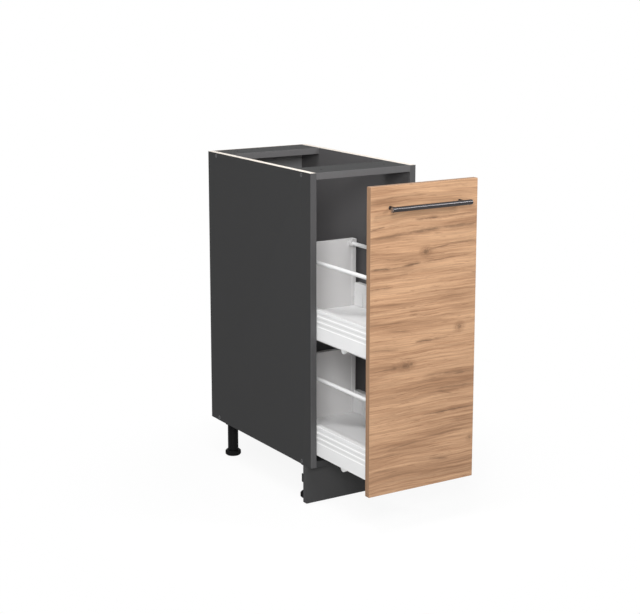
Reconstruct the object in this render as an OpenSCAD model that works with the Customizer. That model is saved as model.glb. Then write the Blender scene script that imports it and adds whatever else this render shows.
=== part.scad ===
// Pull-out kitchen base unit, 300 mm wide, drawn with its front part-way open.
// Millimetres, +Z up, the front faces -Y, X = 0 is the centre plane and Z = 0 is the floor.
// Every piece is drawn with the unit shut and the carcass front at Y = 0. The modules fixed(),
// halfway() and pulled() then carry it to its place with the front open by pull_out.

/* [Carcass] */
// Width of the carcass over both side panels
carcass_w = 300; // [280:10:400]
// Height of the carcass without its legs
carcass_h = 720; // [680:10:900]
// Depth of the carcass without the front
carcass_d = 510; // [490:10:600]
// Thickness of the carcass boards
panel_t = 16; // [15:1:19]
// Depth of the top rail at the front
front_rail_d = 100; // [80:5:140]
// Depth of the top rail at the back
rear_rail_d = 90; // [80:5:140]
// Thickness of the hardboard back
hardboard_t = 3; // [2.5:0.5:4]
// Width of the rebate that takes the hardboard back
rebate_w = 8; // [6:1:10]
// Distance of the outer joint screws from the front and back edges
joint_inset = 43; // [37:1:50]
// Distance from a joint screw to the dowel beside it
dowel_offset = 32; // [24:1:32]

/* [Legs and plinth] */
// Height of the legs when they are screwed right in
leg_h = 100; // [90:5:150]
// Distance of a leg's centre from the side of the carcass
leg_side_inset = 38; // [36:1:50]
// Distance of a front leg's centre from the carcass front
leg_front_inset = 72; // [66:1:90]
// Distance of a rear leg's centre from the carcass back
leg_rear_inset = 48; // [36:1:90]
// Outer radius of the leg tube
tube_r = 14; // [13:0.5:16]
// Wall of the leg tube
tube_wall = 3; // [2:0.5:4]
// Radius of the foot over its lobes
foot_r = 21; // [20:0.5:24]
// Height of the lobed foot
foot_h = 14; // [12:1:18]
// Length of the foot's stem inside the tube
stem_len = 46; // [40:1:56]
// Thickness of the plinth board
plinth_t = 16; // [15:1:19]
// Distance of the plinth's face behind the carcass front
plinth_setback = 24; // [20:1:30]
// Gap between the plinth and the floor
plinth_floor_gap = 3; // [2:0.5:6]
// Gap between the plinth and the carcass
plinth_top_gap = 1.5; // [1:0.5:4]
// How much shorter the plinth is at each end than the carcass
plinth_end_gap = 2; // [0:0.5:4]

/* [Front and handle] */
// Distance that the front is drawn open
pull_out = 230; // [0:10:400]
// Gap around the front when the unit is shut
front_reveal = 2; // [1:0.5:4]
// Thickness of the front board
front_t = 16; // [15:1:22]
// Gap behind the front when the unit is shut
front_gap = 2; // [1.5:0.5:4]
// Diameter of the handle bar
handle_d = 12; // [10:1:14]
// Length of the handle bar
handle_len = 220; // [190:5:270]
// Distance between the handle's two posts
handle_pitch = 192; // [160:32:192]
// Distance from the front's face to the middle of the bar
handle_stand = 28; // [24:1:36]
// Distance from the front's top edge to the middle of the bar
handle_drop = 49.5; // [40:0.5:80]
// Diameter of a handle post
post_d = 9; // [8:0.5:10]

/* [Drawers] */
// Length of the steel drawer sides
drawer_len = 450; // [420:10:460]
// Gap between the bottom board and the lower drawer
drawer_lift = 11; // [10:1:16]
// Height from one drawer to the next
drawer_pitch = 288; // [256:32:320]
// Height of the steel drawer sides
side_h = 77; // [74:1:90]
// Thickness of the drawer side's sheet
steel_t = 1.2; // [1:0.1:1.5]
// Width of the flange that carries the floor board
floor_flange = 14; // [12:1:18]
// Width of the turned-in top edge
top_flange = 5; // [4:0.5:7]
// Height of the lowest groove rolled into the side
groove_z = 36; // [34:1:38]
// Height from one groove to the next
groove_pitch = 13; // [11.5:0.5:13]
// Width of a rolled groove
groove_w = 8; // [6:0.5:9]
// Depth of a rolled groove
groove_d = 1.6; // [1:0.1:2]
// Gap between the carcass side and the drawer side's outer wall
side_gap = 1.6; // [1.2:0.1:2.4]
// Thickness of the drawer's floor board
floor_t = 16; // [12:1:18]
// Thickness of the drawer's back board
drawer_back_t = 16; // [12:1:18]
// Gap between the carcass side and the drawer's back board
back_gap = 12.5; // [12:0.5:16]
// Height of the drawer's back above the drawer's underside
drawer_back_h = 192; // [180:1:220]
// Diameter of the gallery rail
gallery_d = 10; // [8:1:11]
// Height of the gallery rail's middle above the drawer's underside
gallery_h = 182; // [150:1:182]
// Distance of the gallery rail's middle from the end of the back board
gallery_inset = 16.5; // [16:0.5:24]

/* [Runners] */
// Width that the runner takes inside the hollow drawer side
runner_w = 12.5; // [12.5:0.1:13.2]
// Sheet thickness of the runner members
runner_t = 1; // [0.9:0.05:1.1]
// Length of the member on the carcass
fixed_len = 450; // [430:10:460]
// Length of the middle member
middle_len = 430; // [400:10:440]
// Width of the roller next to the carcass
outer_roller_w = 3.9; // [3.5:0.1:4]
// Width of the roller next to the drawer
inner_roller_w = 4.2; // [3.8:0.1:4.3]
// Radius of the fixed member's front roller
fixed_roller_r = 8; // [7:0.1:9]
// Radius of the middle member's front roller
front_roller_r = 9; // [8:0.1:9.5]
// Radius of the two rollers that run in the channels
track_roller_r = 8.2; // [7.8:0.1:8.6]
// Radius of the studs that carry the rollers
stud_r = 2.5; // [2:0.1:3]

/* [Fits] */
// Radial clearance of what turns or slides on a pin
running_fit = 0.06; // [0.03:0.01:0.1]
// Clearance of what stands still in a hole or a rebate
still_fit = 0.1; // [0.05:0.05:0.3]
// Gap between a roller and its track
track_gap = 0.1; // [0.08:0.02:0.3]

/* [Hidden] */
$fn = 48;

// Overlap that lets a cut run clear of the face it starts from
cut = 1;

// Planes of the carcass
inner_x = carcass_w / 2 - panel_t;
top_z = leg_h + carcass_h;
floor_board_z = leg_h + panel_t;
board_d = carcass_d - hardboard_t;
joint_front_y = joint_inset;
joint_rear_y = carcass_d - joint_inset;
joint_low_z = leg_h + panel_t / 2;
joint_high_z = top_z - panel_t / 2;
rear_rail_y = board_d - rear_rail_d;

// Joint screws and dowels
joint_head_r = 5;
joint_head_h = 3.5;
joint_shank_r = 3.4;
joint_len = 50;
joint_key_r = 2.3;
joint_key_depth = 2.6;
dowel_r = 4;
dowel_len = 30;
dowel_in_side = 10;

// Nails of the hardboard back
nail_head_r = 2.25;
nail_head_h = 0.8;
nail_shank_r = 0.7;
nail_len = 16;
nail_rows = 5;
nail_end_gap = 60;

// Worktop screw holes in the top rails
worktop_hole_r = 2.5;
worktop_hole_x = 90;

// Legs
leg_x = carcass_w / 2 - leg_side_inset;
leg_front_y = leg_front_inset;
leg_rear_y = carcass_d - leg_rear_inset;
plate_w = 64;
plate_t = 4;
plate_corner_r = 8;
collar_h = 10;
collar_r = tube_r + 7.5;
collar_end_r = tube_r + 5.5;
socket_roof = 3;
plate_screw_pitch = 36;
plate_screw_r = 1.7;
plate_screw_head_r = 3.4;
plate_screw_head_h = 2;
plate_screw_len = 14;
tube_foot_gap = 0.3;
foot_chamfer = 3;
foot_lobes = 6;
foot_notch_r = 5.5;
foot_notch_depth = 2.6;

// Plinth and its clips
plinth_y = plinth_setback;
plinth_back_y = plinth_setback + plinth_t;
plinth_h = leg_h - plinth_floor_gap - plinth_top_gap;
clip_z = leg_h * 0.5;
clip_base_w = 34;
clip_base_h = 44;
clip_base_t = 3;
clip_ring_h = 18;
clip_ring_wall = 3.4;
clip_neck_w = 12;
clip_mouth_w = 21;
clip_screw_r = 1.6;
clip_screw_head_r = 3.2;
clip_screw_head_h = 1.8;
clip_screw_len = 12;
clip_screw_pitch = 32;

// Front and handle
front_back_y = -front_gap;
front_face_y = front_back_y - front_t;
front_z = leg_h + front_reveal;
front_h = carcass_h - 2 * front_reveal;
front_w = carcass_w - 2 * front_reveal;
handle_z = front_z + front_h - handle_drop;
handle_y = front_face_y - handle_stand;
handle_bore_r = 2.5;
handle_screw_r = 2;
handle_screw_in_post = 10;
handle_screw_head_r = 4.2;
handle_screw_head_h = 2.4;
bar_chamfer = 0.6;

// Drawers
skin_play = 0.4;
skin_x = inner_x - side_gap;
rail_x = skin_x - steel_t - skin_play;
drawer_x = rail_x - runner_w;
back_x = inner_x - back_gap;
drawer_back_y = front_back_y + drawer_len;
lower_z = floor_board_z + drawer_lift;
upper_z = lower_z + drawer_pitch;
levels = [lower_z, upper_z];
groove_count = 3;
lip_h = 3;
side_turn = 1;
floor_top = steel_t + floor_t;
bracket_gap = 0.2;
bracket_x = drawer_x - steel_t - bracket_gap;
bracket_t = 1.2;
bracket_leg = 40;
back_bracket_h = 37;
back_flange_w = 8.5;
front_bracket_h = 52;
front_flange_w = 20;
bracket_lift = 0.8;
gallery_x = back_x - gallery_inset;
holder_base_t = 2;
holder_base_h = 19;
holder_boss_r = gallery_d / 2 + 3;
holder_boss_len = 12;
small_screw_r = 1.6;
small_screw_head_r = 3;
small_screw_head_h = 1.4;
small_screw_len = 12;
floor_screw_inset = 60;
holder_screw_x = back_x - small_screw_head_r - 0.5;

// Runner section: u runs from the fixed member's back towards the drawer, z from the drawer's
// underside
member_low = -1;
side_play = 0.2;
outer_plane = runner_t + side_play;
middle_u = outer_plane + outer_roller_w + 0.3;
inner_plane = middle_u + runner_t + 0.3;
drawer_web_t = 1.2;
drawer_web_u = runner_w - drawer_web_t;
flange_play = 0.4;
outer_flange_u = middle_u - flange_play;
inner_flange_u = drawer_web_u - flange_play;
front_roller_z = -1;
fixed_roller_z = front_roller_z;
middle_ledge_z = fixed_roller_z + fixed_roller_r + track_gap;
fixed_channel_z = middle_ledge_z + runner_t + 1.2;
track_h = 2 * track_roller_r + 2 * track_gap;
rear_roller_z = fixed_channel_z + runner_t + track_gap + track_roller_r;
fixed_top = fixed_channel_z + track_h + 2 * runner_t;
drawer_ledge_z = front_roller_z + front_roller_r + track_gap;
middle_channel_z = drawer_ledge_z + drawer_web_t + 1.2;
drawer_roller_z = middle_channel_z + runner_t + track_gap + track_roller_r;
middle_top = middle_channel_z + track_h + 2 * runner_t;
drawer_web_top = middle_top + 2;
step_z = drawer_web_top + 0.5;
board_play = 1;
hanger_low = board_play - drawer_lift;
runner_screw_z = (hanger_low + member_low - runner_t) / 2;

// Places along the runners, with the unit shut
fixed_y = 10;
fixed_roller_y = fixed_y + 20;
fixed_channel_y = fixed_roller_y + fixed_roller_r + 4;
middle_y = 0;
front_roller_y = 14;
middle_channel_y = front_roller_y + front_roller_r + 4;
middle_end_y = middle_y + middle_len;
rear_roller_y = middle_end_y - 12;
drawer_roller_y = middle_end_y - 16;
runner_screw_y = [64, 246, 428];
runner_screw_r = 2;
runner_screw_head_r = 3.4;
runner_screw_len = 12;
stop_t = 1;
lug_r = 6;
hanger_y = fixed_roller_y + lug_r + 2;
cap_low = -6;
cap_slope = 3;
cap_play = 0.3;

// Origin: under the middle of the whole unit
front_reach = pull_out + front_gap + front_t + handle_stand + handle_d / 2;
frame_y = (front_reach - carcass_d) / 2;

// Colours
anthracite = [0.16, 0.16, 0.165];
hardboard = [0.2, 0.2, 0.205];
oak = [0.78, 0.6, 0.44];
white = [0.92, 0.92, 0.91];
zinc = [0.7, 0.71, 0.72];
beech = [0.82, 0.68, 0.5];
black = [0.04, 0.04, 0.045];
gunmetal = [0.25, 0.24, 0.25];
nylon = [0.88, 0.88, 0.87];

// Places of what stands still, moves half as far, and moves with the front
module fixed() {
    translate([0, frame_y, 0]) children();
}

module halfway() {
    translate([0, frame_y - pull_out / 2, 0]) children();
}

module pulled() {
    translate([0, frame_y - pull_out, 0]) children();
}

// Right-hand pieces become left-hand ones
module left() {
    mirror([1, 0, 0]) children();
}

module both_sides() {
    children();
    left() children();
}

// Long sections: a flat outline in X and Z drawn out along Y
module along_y(y, length) {
    translate([0, y + length, 0]) rotate([90, 0, 0]) linear_extrude(length) children();
}

// Round pieces whose axis runs along X, from x towards +X
module across(x, y, z) {
    translate([x, y, z]) rotate([0, 90, 0]) children();
}

// Round pieces whose axis runs towards +Y
module into_y(x, y, z) {
    translate([x, y, z]) rotate([-90, 0, 0]) children();
}

// Rounded rectangle about the origin, with true arcs
module rounded_rect(w, d, r) {
    square([w - 2 * r, d], center = true);
    square([w, d - 2 * r], center = true);
    for (x = [-1, 1], y = [-1, 1])
        translate([x * (w / 2 - r), y * (d / 2 - r)]) circle(r = r);
}

// Joint between a side panel and a cross board: holes and hardware
function joint_places() = [
    [joint_front_y, joint_low_z, dowel_offset],
    [joint_rear_y, joint_low_z, -dowel_offset],
    [joint_front_y, joint_high_z, dowel_offset],
    [joint_rear_y, joint_high_z, -dowel_offset]
];

module joint_screw(play) {
    outer_x = carcass_w / 2;
    across(outer_x - joint_head_h - play, 0, 0)
        cylinder(h = joint_head_h + play + (play > 0 ? cut : 0), r = joint_head_r + play);
    across(outer_x - joint_len - play, 0, 0) cylinder(h = joint_len, r = joint_shank_r + play);
}

module joint_dowel(play) {
    across(inner_x + dowel_in_side - dowel_len - play, 0, 0)
        cylinder(h = dowel_len + 2 * play, r = dowel_r + play);
}

module joint_holes() {
    for (p = joint_places()) {
        translate([0, p[0], p[1]]) joint_screw(still_fit);
        translate([0, p[0] + p[2], p[1]]) joint_dowel(still_fit);
    }
}

module carcass_screws() {
    color(zinc) fixed() both_sides()
        for (p = joint_places()) translate([0, p[0], p[1]]) difference() {
            joint_screw(0);
            across(carcass_w / 2 - joint_key_depth, 0, 0)
                cylinder(h = joint_key_depth + cut, r = joint_key_r, $fn = 6);
        }
}

module carcass_dowels() {
    color(beech) fixed() both_sides()
        for (p = joint_places()) translate([0, p[0] + p[2], p[1]]) joint_dowel(0);
}

// Carcass boards
module side_panel() {
    difference() {
        translate([inner_x, 0, leg_h]) cube([panel_t, carcass_d, carcass_h]);
        translate([inner_x - cut, board_d, leg_h - cut])
            cube([rebate_w + cut, hardboard_t + cut, carcass_h + 2 * cut]);
        joint_holes();
        for (z = levels, y = runner_screw_y)
            across(inner_x - cut, y, z + runner_screw_z)
                cylinder(h = runner_screw_len + cut, r = runner_screw_r + still_fit);
        side_nail_places() nail(still_fit);
    }
}

module side_panel_left() {
    color(anthracite) fixed() left() side_panel();
}

module side_panel_right() {
    color(anthracite) fixed() side_panel();
}

module cross_board(y, d, z) {
    translate([-inner_x, y, z]) cube([2 * inner_x, d, panel_t]);
}

module bottom_panel() {
    color(anthracite) fixed() difference() {
        cross_board(0, board_d, leg_h);
        both_sides() joint_holes();
        leg_places() plate_screw_places()
            cylinder(h = plate_screw_len - plate_t + 1, r = plate_screw_r + still_fit);
        board_nail_places() nail(still_fit);
    }
}

module worktop_holes(y) {
    for (x = [-worktop_hole_x, worktop_hole_x])
        translate([x, y, top_z - panel_t - cut]) cylinder(h = panel_t + 2 * cut, r = worktop_hole_r);
}

module front_top_rail() {
    color(anthracite) fixed() difference() {
        cross_board(0, front_rail_d, top_z - panel_t);
        both_sides() joint_holes();
        worktop_holes(front_rail_d / 2);
    }
}

module rear_top_rail() {
    color(anthracite) fixed() difference() {
        cross_board(rear_rail_y, rear_rail_d, top_z - panel_t);
        both_sides() joint_holes();
        worktop_holes(rear_rail_y + rear_rail_d / 2);
        board_nail_places() nail(still_fit);
    }
}

// Hardboard back and its nails, driven from behind
module nail(play) {
    into_y(0, carcass_d - nail_head_h - play, 0)
        cylinder(h = nail_head_h + play + (play > 0 ? cut : 0), r = nail_head_r + play);
    into_y(0, carcass_d - nail_len - play, 0) cylinder(h = nail_len, r = nail_shank_r + play);
}

module side_nail_places() {
    span = carcass_h - 2 * nail_end_gap;
    low_z = leg_h + nail_end_gap;
    for (i = [0 : nail_rows - 1])
        translate([inner_x + rebate_w / 2, 0, low_z + span * i / (nail_rows - 1)]) children();
}

module board_nail_places() {
    for (x = [-inner_x / 2, inner_x / 2], z = [joint_low_z, joint_high_z])
        translate([x, 0, z]) children();
}

module all_nail_places() {
    both_sides() side_nail_places() children();
    board_nail_places() children();
}

module back_panel() {
    half_w = inner_x + rebate_w - still_fit;
    color(hardboard) fixed() difference() {
        translate([-half_w, board_d, leg_h]) cube([2 * half_w, hardboard_t, carcass_h]);
        all_nail_places() nail(still_fit);
    }
}

module back_panel_nails() {
    color(zinc) fixed() all_nail_places() nail(0);
}

// Legs: a screwed plate with a socket, a tube and a lobed foot on a stem
module leg_places() {
    for (x = [-leg_x, leg_x], y = [leg_front_y, leg_rear_y])
        translate([x, y, leg_h]) children();
}

module plate_screw_places() {
    for (x = [-1, 1], y = [-1, 1])
        translate([x * plate_screw_pitch / 2, y * plate_screw_pitch / 2, 0]) children();
}

module leg_plates() {
    socket_h = plate_t + collar_h - socket_roof;
    color(black) fixed() leg_places() difference() {
        union() {
            translate([0, 0, -plate_t])
                linear_extrude(plate_t) rounded_rect(plate_w, plate_w, plate_corner_r);
            translate([0, 0, -plate_t - collar_h])
                cylinder(h = collar_h, r1 = collar_end_r, r2 = collar_r);
        }
        translate([0, 0, -plate_t - collar_h - cut]) cylinder(h = socket_h + cut, r = tube_r + still_fit);
        translate([0, 0, -plate_t - cut]) plate_screw_places()
            cylinder(h = plate_t + 2 * cut, r = plate_screw_r + still_fit);
    }
}

module leg_plate_screws() {
    color(zinc) fixed() leg_places() plate_screw_places() {
        translate([0, 0, -plate_t - plate_screw_head_h])
            cylinder(h = plate_screw_head_h, r = plate_screw_head_r);
        translate([0, 0, -plate_t]) cylinder(h = plate_screw_len, r = plate_screw_r);
    }
}

module leg_tubes() {
    tube_low = foot_h + tube_foot_gap;
    tube_len = leg_h - socket_roof - still_fit - tube_low;
    color(black) fixed() leg_places() translate([0, 0, tube_low - leg_h]) difference() {
        cylinder(h = tube_len, r = tube_r);
        translate([0, 0, -cut]) cylinder(h = tube_len + 2 * cut, r = tube_r - tube_wall);
    }
}

module foot(x, y) {
    color(black) fixed() translate([x, y, 0]) {
        difference() {
            rotate_extrude() polygon([
                [0, 0], [foot_r - foot_chamfer, 0], [foot_r, foot_chamfer],
                [foot_r, foot_h - foot_chamfer], [foot_r - foot_chamfer, foot_h], [0, foot_h]
            ]);
            for (i = [0 : foot_lobes - 1]) rotate(i * 360 / foot_lobes)
                translate([foot_r - foot_notch_depth + foot_notch_r, 0, -cut])
                    cylinder(h = foot_h + 2 * cut, r = foot_notch_r);
        }
        translate([0, 0, foot_h]) cylinder(h = stem_len, r = tube_r - tube_wall - running_fit);
    }
}

module foot_front_left() { foot(-leg_x, leg_front_y); }
module foot_front_right() { foot(leg_x, leg_front_y); }
module foot_rear_left() { foot(-leg_x, leg_rear_y); }
module foot_rear_right() { foot(leg_x, leg_rear_y); }

// Plinth board and the clips that hold it on the front legs
module clip_screw_places() {
    for (z = [-1, 1]) translate([leg_x, 0, clip_z + z * clip_screw_pitch / 2]) children();
}

module plinth_board() {
    plinth_w = carcass_w - 2 * plinth_end_gap;
    screw_end_y = plinth_back_y + clip_base_t - clip_screw_len - still_fit;
    color(anthracite) fixed() difference() {
        translate([-plinth_w / 2, plinth_y, plinth_floor_gap]) cube([plinth_w, plinth_t, plinth_h]);
        both_sides() clip_screw_places() into_y(0, screw_end_y, 0)
            cylinder(h = clip_screw_len, r = clip_screw_r + still_fit);
    }
}

module plinth_clips() {
    ring_r = tube_r + still_fit + clip_ring_wall;
    neck_len = leg_front_y - tube_r - clip_ring_wall / 2 - plinth_back_y;
    color(black) fixed() both_sides() difference() {
        union() {
            translate([leg_x - clip_base_w / 2, plinth_back_y, clip_z - clip_base_h / 2])
                cube([clip_base_w, clip_base_t, clip_base_h]);
            translate([leg_x - clip_neck_w / 2, plinth_back_y, clip_z - clip_ring_h / 2])
                cube([clip_neck_w, neck_len, clip_ring_h]);
            translate([leg_x, leg_front_y, clip_z - clip_ring_h / 2])
                cylinder(h = clip_ring_h, r = ring_r);
        }
        translate([leg_x, leg_front_y, clip_z - clip_ring_h])
            cylinder(h = 2 * clip_ring_h, r = tube_r + still_fit);
        translate([leg_x - clip_mouth_w / 2, leg_front_y, clip_z - clip_ring_h])
            cube([clip_mouth_w, 2 * ring_r, 2 * clip_ring_h]);
        clip_screw_places() into_y(0, plinth_back_y - cut, 0)
            cylinder(h = clip_base_t + 2 * cut, r = clip_screw_r + still_fit);
    }
}

module plinth_clip_screws() {
    head_y = plinth_back_y + clip_base_t;
    color(zinc) fixed() both_sides() clip_screw_places() {
        into_y(0, head_y - clip_screw_len, 0) cylinder(h = clip_screw_len, r = clip_screw_r);
        into_y(0, head_y, 0) cylinder(h = clip_screw_head_h, r = clip_screw_head_r);
    }
}

// Runner sections are drawn in u and z, then set inside the right-hand drawer side
module on_rail() {
    translate([rail_x, 0]) mirror([1, 0]) children();
}

module stud(u, length, y, z) {
    across(rail_x - u - length, y, z) cylinder(h = length, r = stud_r);
}

module roller(u, width, r, y, z) {
    chamfer = 0.5;
    bore_r = stud_r + running_fit;
    across(rail_x - u - width, y, z) rotate_extrude() polygon([
        [bore_r, 0], [r - chamfer, 0], [r, chamfer],
        [r, width - chamfer], [r - chamfer, width], [bore_r, width]
    ]);
}

module fixed_runner(z) {
    fixed_end_y = fixed_y + fixed_len;
    color(white) translate([0, 0, z]) {
        along_y(fixed_y, fixed_len) on_rail()
            translate([0, member_low]) square([runner_t, fixed_top - member_low]);
        along_y(fixed_channel_y, fixed_end_y - fixed_channel_y) on_rail() {
            translate([0, fixed_channel_z]) square([outer_flange_u, runner_t]);
            translate([0, fixed_top - runner_t]) square([outer_flange_u, runner_t]);
        }
        along_y(fixed_end_y - stop_t, stop_t) on_rail()
            translate([0, fixed_channel_z]) square([outer_flange_u, fixed_top - fixed_channel_z]);
        across(rail_x - runner_t, fixed_roller_y, fixed_roller_z) cylinder(h = runner_t, r = lug_r);
        stud(runner_t, outer_plane + outer_roller_w - runner_t, fixed_roller_y, fixed_roller_z);
    }
}

module fixed_runner_lower_left() { fixed() left() fixed_runner(lower_z); }
module fixed_runner_lower_right() { fixed() fixed_runner(lower_z); }
module fixed_runner_upper_left() { fixed() left() fixed_runner(upper_z); }
module fixed_runner_upper_right() { fixed() fixed_runner(upper_z); }

// Steel angles that carry the fixed members from below, under the drawer sides
module runner_hangers() {
    hanger_len = fixed_y + fixed_len - hanger_y;
    low_r = runner_screw_r + still_fit;
    color(white) fixed() both_sides() for (z = levels) translate([0, 0, z]) difference() {
        along_y(hanger_y, hanger_len) {
            translate([inner_x - runner_t, hanger_low]) square([runner_t, member_low - hanger_low]);
            translate([rail_x - runner_t, member_low - runner_t])
                square([inner_x - rail_x + runner_t, runner_t]);
        }
        for (y = runner_screw_y) across(inner_x - runner_t, y, runner_screw_z)
            cylinder(h = runner_t, r1 = runner_screw_head_r + still_fit, r2 = low_r);
    }
}

module runner_screws() {
    color(zinc) fixed() both_sides() for (z = levels, y = runner_screw_y) {
        across(inner_x - runner_t, y, z + runner_screw_z)
            cylinder(h = runner_t, r1 = runner_screw_head_r, r2 = runner_screw_r);
        across(inner_x, y, z + runner_screw_z)
            cylinder(h = runner_screw_len - still_fit, r = runner_screw_r);
    }
}

module middle_runner(z) {
    ledge_u = runner_t + flange_play;
    stud_u = middle_u + runner_t;
    color(white) translate([0, 0, z]) {
        along_y(middle_y, middle_len) on_rail() {
            translate([middle_u, member_low]) square([runner_t, middle_top - member_low]);
            translate([ledge_u, middle_ledge_z]) square([middle_u - ledge_u, runner_t]);
        }
        along_y(middle_channel_y, middle_end_y - middle_channel_y) on_rail() {
            translate([middle_u, middle_channel_z]) square([inner_flange_u - middle_u, runner_t]);
            translate([middle_u, middle_top - runner_t]) square([inner_flange_u - middle_u, runner_t]);
        }
        across(rail_x - stud_u, front_roller_y, front_roller_z) cylinder(h = runner_t, r = lug_r);
        stud(stud_u, inner_plane + inner_roller_w - stud_u, front_roller_y, front_roller_z);
        stud(outer_plane, middle_u - outer_plane, rear_roller_y, rear_roller_z);
    }
}

module middle_runner_lower_left() { halfway() left() middle_runner(lower_z); }
module middle_runner_lower_right() { halfway() middle_runner(lower_z); }
module middle_runner_upper_left() { halfway() left() middle_runner(upper_z); }
module middle_runner_upper_right() { halfway() middle_runner(upper_z); }

// Nose on the middle member, ahead of its front roller
module middle_runner_caps() {
    cap_len = front_roller_y - front_roller_r - 2 * cap_play - middle_y;
    cap_top = drawer_ledge_z - cap_play;
    color(nylon) halfway() both_sides() for (z = levels)
        translate([rail_x - middle_u - runner_t, middle_y, z]) rotate([0, -90, 0])
            linear_extrude(inner_roller_w + side_play)
                polygon([
                    [cap_low, cap_len], [cap_low, cap_slope], [cap_low + cap_slope, 0],
                    [cap_top, 0], [cap_top, cap_len]
                ]);
}

module fixed_rollers(z) {
    color(nylon) fixed() both_sides()
        roller(outer_plane, outer_roller_w, fixed_roller_r, fixed_roller_y, z + fixed_roller_z);
}

module middle_rear_rollers(z) {
    color(nylon) halfway() both_sides()
        roller(outer_plane, outer_roller_w, track_roller_r, rear_roller_y, z + rear_roller_z);
}

module middle_front_rollers(z) {
    color(nylon) halfway() both_sides()
        roller(inner_plane, inner_roller_w, front_roller_r, front_roller_y, z + front_roller_z);
}

module drawer_rollers(z) {
    color(nylon) pulled() both_sides()
        roller(inner_plane, inner_roller_w, track_roller_r, drawer_roller_y, z + drawer_roller_z);
}

module fixed_rollers_lower() { fixed_rollers(lower_z); }
module fixed_rollers_upper() { fixed_rollers(upper_z); }
module middle_rear_rollers_lower() { middle_rear_rollers(lower_z); }
module middle_rear_rollers_upper() { middle_rear_rollers(upper_z); }
module middle_front_rollers_lower() { middle_front_rollers(lower_z); }
module middle_front_rollers_upper() { middle_front_rollers(upper_z); }
module drawer_rollers_lower() { drawer_rollers(lower_z); }
module drawer_rollers_upper() { drawer_rollers(upper_z); }

// Drawer members, welded to the inner walls of the steel sides
module drawer_runners() {
    web_h = drawer_web_top - drawer_ledge_z;
    color(white) pulled() both_sides() for (z = levels) translate([0, 0, z]) {
        along_y(front_back_y, drawer_len) on_rail() {
            translate([drawer_web_u, drawer_ledge_z]) square([drawer_web_t, web_h]);
            translate([inner_plane, drawer_ledge_z]) square([runner_w - inner_plane, drawer_web_t]);
        }
        stud(inner_plane, drawer_web_u - inner_plane, drawer_roller_y, drawer_roller_z);
    }
}

// Front board with the bores for the handle's screws
module handle_places() {
    for (x = [-handle_pitch / 2, handle_pitch / 2]) translate([x, 0, handle_z]) children();
}

module front_panel() {
    color(oak) pulled() difference() {
        translate([-front_w / 2, front_face_y, front_z]) cube([front_w, front_t, front_h]);
        handle_places() into_y(0, front_face_y - cut, 0)
            cylinder(h = front_t + 2 * cut, r = handle_bore_r);
        front_screw_places() front_small_screw(still_fit);
    }
}

module handle_bar() {
    r = handle_d / 2;
    color(gunmetal) pulled() across(-handle_len / 2, handle_y, handle_z) rotate_extrude() polygon([
        [0, 0], [r - bar_chamfer, 0], [r, bar_chamfer],
        [r, handle_len - bar_chamfer], [r - bar_chamfer, handle_len], [0, handle_len]
    ]);
}

module handle_posts() {
    color(gunmetal) pulled() handle_places() difference() {
        into_y(0, handle_y, 0) cylinder(h = handle_stand, r = post_d / 2);
        into_y(0, front_face_y - handle_screw_in_post - 1, 0)
            cylinder(h = handle_screw_in_post + 1 + cut, r = handle_screw_r + still_fit);
        across(-post_d, handle_y, 0) cylinder(h = 2 * post_d, r = handle_d / 2);
    }
}

module handle_screws() {
    color(zinc) pulled() handle_places() {
        into_y(0, front_face_y - handle_screw_in_post, 0)
            cylinder(h = front_t + handle_screw_in_post, r = handle_screw_r);
        into_y(0, front_back_y, 0) cylinder(h = handle_screw_head_h, r = handle_screw_head_r);
    }
}

// Drawer side: a hollow section of rolled steel, open below for the runner. v runs inwards from
// its outer face
function groove(i, v) = let (z = groove_z + i * groove_pitch)
    [[v, z], [v + groove_d, z + groove_d], [v + groove_d, z + groove_w - groove_d], [v, z + groove_w]];
function grooves(v) = [for (i = [0 : groove_count - 1]) each groove(i, v)];
function reversed(points) = [for (i = [len(points) - 1 : -1 : 0]) points[i]];

module drawer_side_section() {
    turn = side_turn;
    wall = skin_x - drawer_x;
    polygon(concat(
        [[0, 0]],
        grooves(0),
        [[0, side_h - turn], [turn, side_h], [top_flange, side_h], [top_flange, side_h - lip_h]],
        [[top_flange - steel_t, side_h - lip_h], [top_flange - steel_t, side_h - steel_t]],
        [[steel_t + turn / 2, side_h - steel_t], [steel_t, side_h - steel_t - turn / 2]],
        reversed(grooves(steel_t)),
        [[steel_t, step_z + steel_t], [wall + steel_t - turn, step_z + steel_t]],
        [[wall + steel_t, step_z + steel_t - turn], [wall + steel_t, steel_t]],
        [[wall + floor_flange, steel_t], [wall + floor_flange, 0], [wall, 0]],
        [[wall, step_z], [steel_t, step_z], [steel_t, 0]]
    ));
}

module drawer_side(z) {
    color(white) translate([0, 0, z]) difference() {
        along_y(front_back_y, drawer_len) translate([skin_x, 0]) mirror([1, 0]) drawer_side_section();
        floor_screw_places() translate([0, 0, -cut])
            cylinder(h = steel_t + 2 * cut, r = small_screw_r + still_fit);
    }
}

module drawer_side_lower_left() { pulled() left() drawer_side(lower_z); }
module drawer_side_lower_right() { pulled() drawer_side(lower_z); }
module drawer_side_upper_left() { pulled() left() drawer_side(upper_z); }
module drawer_side_upper_right() { pulled() drawer_side(upper_z); }

// Floor and back boards of a drawer
module floor_screw_places() {
    for (y = [front_back_y + floor_screw_inset, drawer_back_y - floor_screw_inset])
        translate([drawer_x - floor_flange + small_screw_head_r + 1, y, 0]) children();
}

module floor_screws() {
    color(zinc) pulled() both_sides() for (z = levels) translate([0, 0, z]) floor_screw_places() {
        translate([0, 0, -small_screw_head_h]) cylinder(h = small_screw_head_h, r = small_screw_head_r);
        cylinder(h = small_screw_len, r = small_screw_r);
    }
}

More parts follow.
